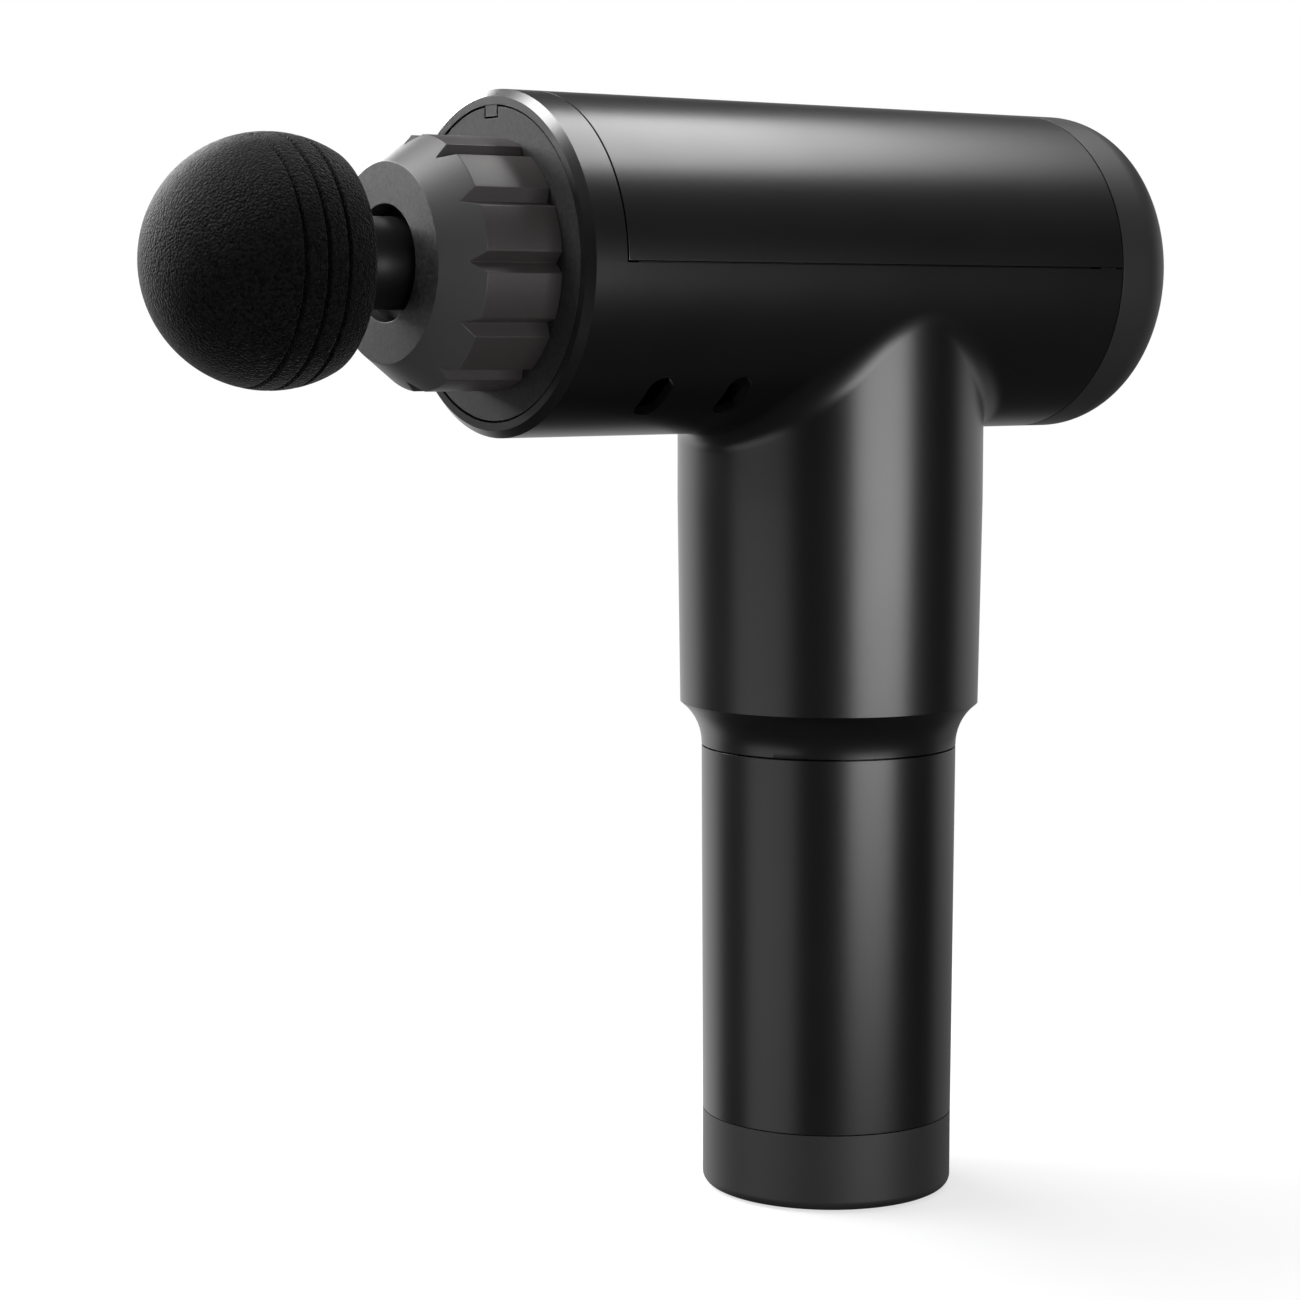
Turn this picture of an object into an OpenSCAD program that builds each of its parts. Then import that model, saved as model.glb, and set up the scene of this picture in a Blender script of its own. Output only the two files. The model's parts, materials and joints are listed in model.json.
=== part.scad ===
// Cordless percussion massage gun with a ball head and a removable battery handle.
// The origin is on the resting plane, at the handle's axis. The barrel runs along X, head at -X.

/* [Barrel] */
// Outside diameter of the barrel
barrel_d = 65; // [62:0.5:70]
// Distance from the handle axis forward to the barrel's front face
barrel_front = 81.9; // [80:0.1:95]
// Distance from the handle axis back to the end of the rear cap
barrel_rear = 68; // [66:1:85]
// Wall of the moulded shells
wall = 2.2; // [1.8:0.1:2.6]
// Length of the solid ring in front of the top cover
lip_len = 8.2; // [7.8:0.1:12]
// Chamfer on the barrel's front edge
lip_chamfer = 1.4; // [0.6:0.1:1.8]
// Radial width of the ring that frames the front plate
lip_w = 2.9; // [2.4:0.1:3.6]
// Width of the key that keeps the front plate from turning
key_w = 3.8; // [2:0.1:5]
// How far the key reaches in from the ring
key_d = 2.2; // [1.4:0.1:2.3]
// Length of the rear cap
cap_len = 17.8; // [16:0.1:20]
// Rounding of the rear cap's edge
cap_round = 11; // [6:0.5:11]
// Visible seam between two shells
seam = 0.35; // [0.2:0.05:0.6]

/* [Vents] */
// Width of a vent slot
vent_w = 5.4; // [3:0.1:6]
// Length of a vent slot
vent_len = 10.8; // [8:0.2:12]
// Distance from the barrel's front face to the first vent
vent_back = 22.5; // [20:0.1:26]
// Distance between the two vents of a side
vent_pitch = 18.5; // [14:0.1:20]
// Angle of the vents below the barrel's mid-height
vent_angle = 50; // [45:1:58]

/* [Handle] */
// Diameter of the grip where it meets the barrel
grip_d = 62; // [60:0.5:63]
// Diameter of the grip at its lower edge
neck_d = 60.8; // [59:0.1:61]
// Distance from the seam above the battery up to the barrel axis
grip_len = 96.5; // [94:0.5:104]
// Height of the hollow neck under the grip's lower edge
cove_h = 8.8; // [6:0.1:12]
// Blend radius of grip and barrel at the front and back
blend_front_r = 4; // [2:0.5:5]
// Blend radius of grip and barrel at the sides
blend_side_r = 12; // [8:1:30]

/* [Nose] */
// Length of the nose in front of the barrel
nose_len = 23.3; // [20:0.1:28]
// Length of the nose cone
cone_len = 7.3; // [5:0.1:10]
// Diameter of the nose's front face
nose_face_d = 37; // [35:0.5:40]
// Diameter of the fluted collar
collar_d = 47.2; // [46:0.2:50]
// Diameter of the hole that the stem passes through
nose_hole_d = 21.6; // [21.4:0.1:24]
// Number of flutes round the collar
flute_count = 12; // [6:1:18]
// Depth of a flute
flute_depth = 2; // [1:0.1:2.4]

/* [Head] */
// Diameter of the foam ball
ball_d = 46; // [40:1:52]
// Distance from the nose face to the ball's flat back
ball_gap = 13.5; // [11:0.5:20]
// Distance from the ball's centre to its flat back
ball_back = 10.7; // [8:0.1:14]
// Depth of the grooves round the ball
ball_groove = 0.9; // [0.4:0.1:1.2]
// Diameter of the stem
stem_d = 17; // [15:0.1:17.2]
// Length of stem inside the plunger
stem_plug = 26; // [22:0.5:27]

/* [Drive] */
// Stroke of the plunger
stroke = 10; // [6:0.5:12]
// Distance between the rod's two pins
rod_len = 40; // [38:0.5:44]
// Thickness of the connecting rod
rod_t = 8; // [7:0.5:9]
// Diameter of the plunger
plunger_d = 20.8; // [20:0.1:20.9]
// Length of the plunger's solid part behind the socket
plunger_solid = 21; // [18:0.5:24]
// Diameter of the crank pin and of the wrist pin
pin_d = 6; // [5:0.5:7]
// Diameter of the rotor can
rotor_d = 47; // [44:0.5:49]
// Height of the rotor can
rotor_h = 22; // [20:0.5:24]
// Diameter of the motor shaft
shaft_d = 5; // [4:0.5:6]
// Number of magnets
magnet_count = 14; // [8:2:16]
// Number of stator teeth
tooth_count = 12; // [9:3:12]

/* [Battery] */
// Diameter of the battery tube at its top
tube_d = 52; // [51:0.2:53]
// Diameter of the battery tube at its bottom
tube_low_d = 51.2; // [50:0.2:52]
// Height of the base cap
base_h = 15.5; // [14:0.5:20]
// Rounding of the base's edge
base_round = 2; // [1:0.5:3]
// Diameter of a battery cell
cell_d = 18.4; // [18:0.1:18.6]
// Length of a battery cell
cell_len = 65; // [60:0.5:66]
// Length of the battery's spigot inside the grip
spigot_len = 15; // [12:0.5:18]
// Bore radius of the charge jack
jack_r = 3.2; // [2.9:0.1:3.6]
// Radius of the charge jack's centre pin
jack_pin_r = 1.05; // [0.8:0.05:1.25]

/* [Hidden] */
$fn = 64;

// Clearances
fit = 0.03;      // between two pieces that are pressed or bolted together
run = 0.04;      // radial running clearance of pins and bushes
slip = 0.3;      // between moving pieces that don't guide each other
sunk = 0.15;     // how deep a blend's edge is sunk into the wall
cap_room = 8;    // room above the cells for their holder, strips and protection board
board_gap = 1.3; // between the driver board and the socket's roof

// Cap screws: radius of the shank, its length, radius and height of the head
nose_screw = [1.25, 8, 2.2, 1.4];
guide_screw = [1.3, 5.5, 2.8, 1.3];
board_screw = [1.1, 5, 2, 1.2];
bracket_screw = [1.5, 9, 2.7, 1.5];
base_screw = [1.1, 7.2, 2, 1.2];

// Barrel, all heights below are relative to its axis unless a name ends in _z
barrel_r = barrel_d / 2;
barrel_in_r = barrel_r - wall;
front_x = -barrel_front;
cover_front_x = front_x + lip_len;
cap_x = barrel_rear - cap_len;
cap_spigot = 4;
tongue_h = 2.5; // how far the cover's tongues reach below its edge
tongue_t = 1.2;
lip_in_r = barrel_r - lip_w;
plate_t = 2;
plate_sink = 0.15; // how far the plate's face lies behind the ring's
plate_r = lip_in_r - seam;
flange_t = 2.5;
damper_t = 1;
bulkhead_t = 2;
flange_x = front_x + plate_t + fit;
damper_x = flange_x + flange_t + fit;
bulkhead_x = damper_x + damper_t + fit;

// Heights from the resting plane: the battery's length sets all that stands on it
cell_low_z = base_h + 3;
cell_top_z = cell_low_z + cell_len;
seam_z = cell_top_z + cap_room;
barrel_axis_z = seam_z + grip_len;

// Grip and neck
grip_r = grip_d / 2;
grip_in_r = grip_r - wall;
neck_r = neck_d / 2;
tube_r = tube_d / 2;
tube_low_r = tube_low_d / 2;
cove_drop = neck_r - tube_r;
cove_r = (cove_drop * cove_drop + cove_h * cove_h) / (2 * cove_drop);
taper_top = -barrel_r - 14;
spigot_r = tube_r - 2.2;
socket_roof_z = seam_z + spigot_len + 1;
socket_wall = 2;
contact_roof_z = socket_roof_z + socket_wall;

// Nose
nose_x = front_x - nose_len;
nose_wall = 5.7;
collar_r = collar_d / 2;
nose_hole_r = nose_hole_d / 2;
plunger_r = plunger_d / 2;
bush_r = plunger_r + 2.6;
guide_in_r = bush_r + fit;
guide_r = guide_in_r + 2.7;
collar_in_r = guide_r + 0.3;
flange_r = barrel_r - wall - 3;
nose_screw_r = (collar_in_r + collar_r - flute_depth) / 2;
guide_screw_r = (guide_r + flange_r) / 2 + 2;

// Drive, seen from above: the crank pin rests at the back, so the plunger is fully in
crank_e = stroke / 2;
pin_r = pin_d / 2;
rest_wrist_x = crank_e - rod_len;
small_eye_r = pin_r + 4;
big_bearing_r = pin_r + 6.5;
big_eye_r = big_bearing_r + 3;
slot_root_x = rest_wrist_x - stroke - small_eye_r - 1;
plunger_back_x = rest_wrist_x + small_eye_r;
socket_floor_x = slot_root_x - plunger_solid;
stem_r = stem_d / 2;
stem_end_x = socket_floor_x - 1.5;
o_ring_x = [stem_end_x - 5, stem_end_x - 11];
plunger_front_x = stem_end_x - stem_plug;
ball_flat_x = nose_x - ball_gap;
ball_x = ball_flat_x - ball_back;
ball_r = ball_d / 2;
groove_x = -4.8; // the first groove, from the ball's centre
groove_pitch = 4.3;
guide_front_x = nose_x + nose_wall + fit;
guide_back_x = slot_root_x - 1;
bush_len = 9;
ear_gap = rod_t / 2 + slip;
bearing_t = rod_t - 2;
pin_top = bearing_t / 2 + 0.2;

// Motor stack, from the top down
disc_t = 6;
disc_top = -rod_t / 2 - 0.6;
disc_low = disc_top - disc_t;
shaft_grip = 2.6;     // how far the shaft reaches into the crank disc
pin_foot = disc_low + 3.2;
can_top = disc_low - 0.6;
can_low = can_top - rotor_h;
rotor_r = rotor_d / 2;
can_wall = 1.6;
magnet_t = 1.7;
stator_r = rotor_r - can_wall - magnet_t - 0.6;
shaft_r = shaft_d / 2;
bearing_r = shaft_r + 4;
bearing_h = 4;
bearing_tube_r = bearing_r + 1.5;
bracket_t = 3;
bracket_top = can_low - 2;
bracket_low = bracket_top - bracket_t;
bracket_r = grip_in_r - 0.4;
boss_h = 9;
boss_w = 9;
bracket_screw_r = bracket_r - 3.1;
tube_top = can_top - 4.6;
stack_h = 12;
stack_low = can_low + 3.4;
board_t = 1.2;

// Electronics in the grip
driver_w = 38;
fet_w = 6;
capacitor_r = 4.6;
driver_plug = [3.5, 18, 5];
driver_top = bracket_low - 7;
driver_h = driver_top - (contact_roof_z - barrel_axis_z) - board_gap;

// Rear panel
panel_r = 20;
panel_t = 1.8;
panel_x = barrel_rear - panel_t - 0.2;
button_r = 7;
ring_w = 1.8;
ring_r = button_r + 0.5 + ring_w;
spot_r = 0.9;
button_travel = 0.8;
button_proud = 1;
carrier_r = ring_r + 6.2;
shelf_t = 1.6;
board_x = panel_x - shelf_t - 7.5;
board_r = barrel_in_r - 3.4;
board_post_r = board_r - 3;
plug_z = -14; // lower edge of the ribbon's plug
plug_t = 2;
ribbon_w = 8;
ribbon_t = 0.7;
switch_h = 3.4;

// Battery
tube_wall = 2;
cell_r = cell_d / 2;
cell_pitch = cell_d + 0.3;
cap_roof = 2.4;
contact_ring_r = 10; // circle that the three contacts stand on
contact_r = 3;
pad_r = 4;
floor_t = 2.2;
recess = 2.2;
recess_r = tube_low_r - 5;
holder_t = 4;
holder_r = tube_low_r - tube_wall - 0.3;
strip_t = 0.3;
strip_w = 6;
strip_len = cell_pitch + 7;
protection_z = cell_top_z + strip_t + 1.6;
board_foot_x = 15;
jack_y = -10;
switch_y = 5;
light_x = 9;
light_r = 1.5;
jack_wall = 1.6;
switch_wall = 1.5;
rocker_w = 13;
rocker_d = 8;
rocker_dish = 6;      // how far each half of the rocker slopes outwards
rocker_rest = 7;      // tilt of the rocker in its off position
bezel_t = 0.8;
pivot_z = recess + 3.2;
post_r = 2.3;
screw_r = recess_r - 3.2;
holder_low_z = cell_low_z - 1;

// ---------- shared shapes ----------

// A cylinder along X from x0 to x1
module rod_x(x0, x1, r) {
    translate([x0, 0, 0]) rotate([0, 90, 0]) cylinder(h = x1 - x0, r = r);
}

// A ring along X from x0 to x1
module ring_x(x0, x1, r_out, r_in) {
    difference() {
        rod_x(x0, x1, r_out);
        rod_x(x0 - 1, x1 + 1, r_in);
    }
}

// A ring standing on height z
module ring_z(z, h, r_out, r_in) {
    translate([0, 0, z]) difference() {
        cylinder(h = h, r = r_out);
        translate([0, 0, -1]) cylinder(h = h + 2, r = r_in);
    }
}

// Copies its children round the X axis
module round_x(count, first = 0) {
    for (i = [0:count - 1]) rotate([first + i * 360 / count, 0, 0]) children();
}

// Copies its children round the Z axis
module round_z(count, first = 0) {
    for (i = [0:count - 1]) rotate([0, 0, first + i * 360 / count]) children();
}

// A cap screw with its head at z = 0, its shank down, and a cross recess
module screw(kind) {
    shank_r = kind[0];
    head_r = kind[2];
    head_h = kind[3];
    difference() {
        union() {
            cylinder(h = head_h, r = head_r, $fn = 24);
            translate([0, 0, -kind[1]]) cylinder(h = kind[1], r = shank_r, $fn = 24);
        }
        for (a = [0, 90])
            rotate([0, 0, a]) translate([0, 0, head_h])
                cube([head_r * 1.1, head_r * 0.3, head_h], center = true);
    }
}

// A shielded ball bearing: one ring with a shallow groove in each face
module bearing(r_in, r_out, h) {
    groove_w = (r_out - r_in) * 0.45;
    mid = (r_out + r_in) / 2;
    difference() {
        ring_z(0, h, r_out, r_in);
        for (z = [-0.5, h - 0.4]) ring_z(z, 0.9, mid + groove_w / 2, mid - groove_w / 2);
    }
}

// A slot with round ends, cut along Z
module slot(len, w, depth) {
    cube([w, len - w, depth], center = true);
    for (s = [-1, 1]) translate([0, s * (len - w) / 2, 0]) cylinder(h = depth, d = w, center = true, $fn = 32);
}

// A box with its vertical edges rounded
module soft_box(size, r) {
    for (a = [0, 1])
        translate([0, 0, size[2] / 2])
            cube([size[0] - 2 * r * a, size[1] - 2 * r * (1 - a), size[2]], center = true);
    for (x = [-1, 1], y = [-1, 1])
        translate([x * (size[0] / 2 - r), y * (size[1] / 2 - r), 0]) cylinder(h = size[2], r = r, $fn = 24);
}

// ---------- grip-to-barrel blend ----------

// Blend radius at the angle a round the grip
function blend_r(a) = blend_front_r + (blend_side_r - blend_front_r) * pow(sin(a), 2);
// Centre of the rolling ball that touches both cylinders
function ball_c(a, q) = [
    (grip_r + q) * cos(a),
    (grip_r + q) * sin(a),
    -sqrt(pow(barrel_r + q, 2) - pow((grip_r + q) * sin(a), 2))
];
// Where it touches the grip, the barrel, and a point inside the corner
function on_grip(a, c) = [grip_r * cos(a), grip_r * sin(a), c[2]];
function on_barrel(c, q) = [c[0], c[1] * barrel_r / (barrel_r + q), c[2] * barrel_r / (barrel_r + q)];
function in_corner(a) = [
    (grip_r - 1) * cos(a),
    (grip_r - 1) * sin(a),
    -sqrt(pow(barrel_r - 1, 2) - pow((grip_r - 1) * sin(a), 2))
];
function toward(p, t, d) = p + (t - p) * d / norm(t - p);
// One section of the blend: an arc between the two touching points, and the corner
function blend_ring(a, steps) =
    let (
        q = blend_r(a),
        c = ball_c(a, q),
        from = on_barrel(c, q) - c,
        to = on_grip(a, c) - c,
        span = acos(min(1, max(-1, (from * to) / (norm(from) * norm(to))))),
        arc = [
            for (i = [0:steps])
                c + (from * sin(span * (1 - i / steps)) + to * sin(span * i / steps)) / sin(span)
        ],
        corner = in_corner(a)
    )
    concat(
        [toward(arc[0], corner, sunk)],
        [for (i = [1:steps - 1]) arc[i]],
        [toward(arc[steps], corner, sunk), corner]
    );

// The closed bead of material that blends the grip into the barrel
module blend_bead(turns = 48, steps = 4) {
    rings = [for (i = [0:turns - 1]) blend_ring(i * 360 / turns, steps)];
    row = steps + 2;
    points = [for (ring = rings) for (p = ring) p];
    faces = [
        for (i = [0:turns - 1]) for (j = [0:row - 1])
            let (a = i * row, b = ((i + 1) % turns) * row, k = (j + 1) % row)
            each [[a + j, b + j, b + k], [a + j, b + k, a + k]]
    ];
    polyhedron(points = points, faces = faces, convexity = 6);
}

// ---------- shells ----------

// The grip's outline below the barrel: straight, then drafted, then the hollow neck
module grip_solid(inset = 0) {
    translate([0, 0, taper_top]) cylinder(h = -taper_top, r = grip_r - inset, $fn = 128);
    edge = seam_z + cove_h - barrel_axis_z;
    translate([0, 0, edge]) cylinder(h = taper_top - edge, r1 = neck_r - inset, r2 = grip_r - inset, $fn = 128);
}

module neck_solid() {
    translate([0, 0, seam_z - barrel_axis_z]) difference() {
        cylinder(h = cove_h, r = neck_r, $fn = 128);
        rotate_extrude($fn = 128) translate([tube_r + cove_r, 0]) circle(r = cove_r, $fn = 128);
    }
}

module vents() {
    for (side = [-1, 1], i = [0, 1])
        translate([front_x + vent_back + i * vent_pitch, 0, 0])
            rotate([side * (90 - vent_angle), 0, 0])
                translate([0, 0, -barrel_r]) slot(vent_len, vent_w, wall * 4);
}

module bracket_bosses() {
    round_z(3, 60) intersection() {
        translate([bracket_screw_r - boss_w / 2 + 0.5, -boss_w / 2, bracket_low - fit - boss_h])
            cube([boss_w + 3, boss_w, boss_h]);
        translate([0, 0, bracket_low - 40]) cylinder(h = 60, r = grip_in_r + wall / 2);
    }
}

// Grooved rails on the grip's inner wall that hold the driver board
module board_rails() {
    for (s = [-1, 1])
        intersection() {
            translate([-2.4, s > 0 ? driver_w / 2 - 2 : -neck_r, driver_top - driver_h - 3])
                cube([4.8, neck_r - driver_w / 2 + 2, driver_h + 2]);
            translate([0, 0, driver_top - driver_h - 4]) cylinder(h = driver_h + 6, r = neck_r - wall / 2);
        }
}

module main_housing() {
    color([0.10, 0.10, 0.11])
    translate([0, 0, barrel_axis_z]) {
        difference() {
            union() {
                // lower half of the barrel and its front ring
                difference() {
                    rod_x(front_x + lip_chamfer, cap_x - seam, barrel_r, $fn = 128);
                    translate([cover_front_x, -barrel_r - 1, 0])
                        cube([cap_x - cover_front_x + 1, barrel_d + 2, barrel_r + 1]);
                }
                translate([front_x, 0, 0]) rotate([0, 90, 0])
                    cylinder(h = lip_chamfer, r1 = barrel_r - lip_chamfer, r2 = barrel_r, $fn = 128);
                grip_below_cover();
                neck_solid();
                blend_bead();
            }
            difference() {
                rod_x(front_x - 1, bulkhead_x, lip_in_r, $fn = 128);
                // the key stays
                translate([front_x + plate_sink, -key_w / 2, lip_in_r - key_d])
                    cube([plate_t - plate_sink, key_w, key_d + 1]);
            }
            rod_x(bulkhead_x + bulkhead_t, cap_x + 1, barrel_in_r, $fn = 128);
            rod_x(front_x, bulkhead_x + bulkhead_t + 1, guide_r + 1.2);
            grip_cavity();
            vents();
            round_x(4, 45) translate([bulkhead_x - 1, 0, guide_screw_r]) rotate([0, 90, 0])
                cylinder(h = bulkhead_t + 2, r = guide_screw[0] + fit, $fn = 24);
        }
        difference() {
            bracket_bosses();
            round_z(3, 60) translate([bracket_screw_r, 0, bracket_low - 8])
                cylinder(h = 9, r = bracket_screw[0] + fit, $fn = 24);
        }
        difference() {
            board_rails();
            translate([-board_t / 2 - 0.05, -driver_w / 2 - 0.1, driver_top - driver_h])
                cube([board_t + 0.1, driver_w + 0.2, driver_h + 2]);
        }
    }
}

// The grip only where it stands below the cover's lower edge
module grip_below_cover() {
    difference() {
        grip_solid();
        rod_x(-grip_r - 1, grip_r + 1, barrel_in_r + 0.2, $fn = 128);
    }
}

module grip_cavity() {
    roof = contact_roof_z - barrel_axis_z;
    translate([0, 0, taper_top]) cylinder(h = -taper_top, r = grip_in_r, $fn = 128);
    translate([0, 0, roof]) cylinder(h = taper_top - roof, r1 = neck_r - wall, r2 = grip_in_r, $fn = 128);
    // the battery's socket, with room for its spigot
    translate([0, 0, seam_z - barrel_axis_z - 1]) cylinder(h = spigot_len + 2, r = spigot_r + slip, $fn = 128);
    round_z(3) translate([contact_ring_r, 0, roof - socket_wall - 1])
        cylinder(h = socket_wall + 2, r = 2.6, $fn = 32);
}

module top_cover() {
    length = barrel_front + barrel_rear;
    color([0.10, 0.10, 0.11])
    translate([0, 0, barrel_axis_z]) {
        difference() {
            ring_x(cover_front_x + seam, cap_x - seam, barrel_r, barrel_in_r, $fn = 128);
            translate([front_x, -barrel_r - 1, -barrel_d + seam]) cube([length, barrel_d + 2, barrel_d]);
        }
        // tongues that reach down inside the lower half, thicker where they join the cover
        for (side = [-1, 1], band = [[seam, barrel_in_r + 0.4], [-tongue_h, barrel_in_r - 0.1]])
            intersection() {
                ring_x(cover_front_x + 4, cap_x - cap_spigot - 3, band[1], barrel_in_r - tongue_t, $fn = 128);
                translate([front_x, side > 0 ? 0 : -barrel_d, band[0]]) cube([length, barrel_d, 4]);
            }
    }
}

// Outline of the rear cap from its seam to its end, in (radius, length)
module cap_profile(r, len, round_r) {
    square([r - round_r, len]);
    square([r, len - round_r]);
    translate([r - round_r, len - round_r]) circle(r = round_r, $fn = 128);
}

module rear_cap() {
    seat = panel_x - fit - cap_x;
    color([0.16, 0.16, 0.17])
    translate([cap_x, 0, barrel_axis_z]) rotate([0, 90, 0]) {
        difference() {
            union() {
                difference() {
                    rotate_extrude($fn = 128) intersection() {
                        cap_profile(barrel_r, cap_len, cap_round);
                        square([barrel_r, cap_len]);
                    }
                    translate([0, 0, -1]) rotate_extrude($fn = 128) intersection() {
                        cap_profile(barrel_r - wall, cap_len - wall + 1, cap_round - wall);
                        square([barrel_r, cap_len]);
                    }
                }
                // shelf behind the panel
                translate([0, 0, seat - shelf_t])
                    cylinder(h = shelf_t + 0.1, r = barrel_r - cap_round + 2.5, $fn = 128);
            }
            translate([0, 0, seat]) cylinder(h = cap_len, r = panel_r + 0.1, $fn = 128);
            translate([0, 0, seat - shelf_t - 1]) cylinder(h = shelf_t + 2, r = carrier_r + 0.2, $fn = 128);
        }
        // spigot inside the barrel
        ring_z(-cap_spigot, cap_spigot + 1, barrel_in_r - 0.15, barrel_in_r - 1.6, $fn = 128);
        ring_z(0, 1.2, barrel_in_r + 0.4, barrel_in_r - 1.6, $fn = 128);
        // posts that carry the control board
        round_z(3) translate([board_post_r, 0, board_x + board_t + fit - cap_x]) difference() {
            cylinder(h = panel_x - shelf_t - board_x - board_t, r = 2.4, $fn = 32);
            translate([0, 0, -1]) cylinder(h = 5, r = 1.1 + fit, $fn = 24);
        }
    }
}

module display_panel() {
    color([0.03, 0.03, 0.035])
    translate([0, 0, barrel_axis_z]) difference() {
        ring_x(panel_x, panel_x + panel_t, panel_r, ring_r + 0.1, $fn = 128);
        level_spots(panel_x - 1, panel_t + 2, spot_r + 0.05);
    }
}

// Five round level spots in an arc above the button
module level_spots(x0, len, r) {
    for (a = [-50, -25, 0, 25, 50])
        rotate([a, 0, 0]) translate([x0, 0, ring_r + 5]) rotate([0, 90, 0]) cylinder(h = len, r = r, $fn = 24);
}

module level_lights() {
    color([0.85, 0.9, 0.95])
    translate([0, 0, barrel_axis_z]) {
        level_spots(panel_x - 1.2, panel_t + 1.2, spot_r);
        intersection() {
            ring_x(panel_x - 1.4, panel_x - 0.05, carrier_r, ring_r + 3.8, $fn = 96);
            translate([panel_x - 3, -20, 3.5]) cube([6, 40, 20]);
        }
    }
}

module light_ring() {
    color([0.8, 0.88, 0.95])
    translate([0, 0, barrel_axis_z]) {
        ring_x(panel_x - 1.2, panel_x + panel_t, ring_r, ring_r - ring_w, $fn = 96);
        ring_x(panel_x - 1.4, panel_x - 0.05, ring_r + 2.5, ring_r - 0.5, $fn = 96);
    }
}

module control_board() {
    color([0.05, 0.25, 0.12])
    translate([0, 0, barrel_axis_z]) {
        difference() {
            rod_x(board_x, board_x + board_t, board_r, $fn = 96);
            round_x(3, 90) translate([board_x - 1, 0, board_post_r]) rotate([0, 90, 0])
                cylinder(h = 5, r = 1.1 + fit, $fn = 24);
        }
        // ribbon plug and controller
        translate([board_x - plug_t, -ribbon_w / 2 - 2, plug_z]) cube([plug_t, ribbon_w + 4, 9]);
        translate([board_x - 3.2, -5, 10]) cube([3.2, 10, 5]);
    }
}

module control_board_screws() {
    color([0.6, 0.6, 0.62])
    translate([0, 0, barrel_axis_z]) round_x(3, 90)
        translate([board_x - fit, 0, board_post_r]) rotate([0, -90, 0]) screw(board_screw);
}

module tact_switch() {
    color([0.2, 0.2, 0.22])
    translate([board_x + board_t + fit, 0, barrel_axis_z]) {
        translate([0, -3, -3]) cube([switch_h, 6, 6]);
        rod_x(switch_h, switch_h + 0.8, 1.6);
    }
}

module power_button() {
    color([0.12, 0.12, 0.13])
    translate([0, 0, barrel_axis_z]) {
        crown = 60;
        intersection() {
            rod_x(panel_x - 0.5, panel_x + panel_t + button_proud, button_r, $fn = 96);
            translate([panel_x + panel_t + button_proud - crown, 0, 0]) sphere(r = crown, $fn = 128);
        }
        stem_end = board_x + board_t + fit + switch_h + 0.8 + button_travel + 0.1;
        rod_x(stem_end, panel_x, 2);
        rod_x(panel_x - 2.4, panel_x - 1.6, ring_r - 1);
    }
}

// ---------- nose ----------

module front_plate() {
    color([0.15, 0.15, 0.155])
    translate([0, 0, barrel_axis_z]) difference() {
        ring_x(front_x + plate_sink, front_x + plate_t, plate_r, guide_r + 0.2, $fn = 128);
        // notch round the housing's key
        translate([front_x - 1, -key_w / 2 - seam, lip_in_r - key_d - seam])
            cube([plate_t + 2, key_w + 2 * seam, key_d + seam]);
        round_x(3) translate([front_x - 1, 0, nose_screw_r]) rotate([0, 90, 0])
            cylinder(h = plate_t + 2, r = nose_screw[0] + fit, $fn = 24);
    }
}

module nose_collar() {
    color([0.17, 0.165, 0.165])
    translate([0, 0, barrel_axis_z]) difference() {
        union() {
            translate([nose_x, 0, 0]) rotate([0, 90, 0])
                cylinder(h = cone_len, r1 = nose_face_d / 2, r2 = collar_r, $fn = 128);
            rod_x(nose_x + cone_len, front_x + 0.1, collar_r, $fn = 128);
        }
        rod_x(nose_x - 1, nose_x + nose_wall + 1, nose_hole_r, $fn = 96);
        // seat of the wiper ring, open to the back
        rod_x(nose_x + nose_wall - 3, nose_x + nose_wall + 1, bush_r + 0.05);
        rod_x(nose_x + nose_wall, front_x + 1, collar_in_r, $fn = 96);
        round_x(flute_count, 90) translate([nose_x - 1, 0, collar_r - flute_depth]) flute_cutter();
        round_x(3) translate([front_x - 8, 0, nose_screw_r]) rotate([0, 90, 0])
            cylinder(h = 9, r = nose_screw[0] + fit, $fn = 24);
    }
}

// A prism standing on its edge, so that it cuts a right-angled groove
module flute_cutter() {
    side = 5 * sqrt(2);
    rotate([45, 0, 0]) cube([nose_len + 3, side, side]);
}

module nose_wiper() {
    color([0.05, 0.05, 0.05])
    translate([0, 0, barrel_axis_z])
        ring_x(nose_x + nose_wall - 3 + fit, nose_x + nose_wall - fit, bush_r, plunger_r + 0.1, $fn = 96);
}

module nose_screws() {
    color([0.6, 0.6, 0.62])
    translate([0, 0, barrel_axis_z]) round_x(3)
        translate([flange_x + flange_t - 1.5, 0, nose_screw_r]) rotate([0, 90, 0]) screw(nose_screw);
}

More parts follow.
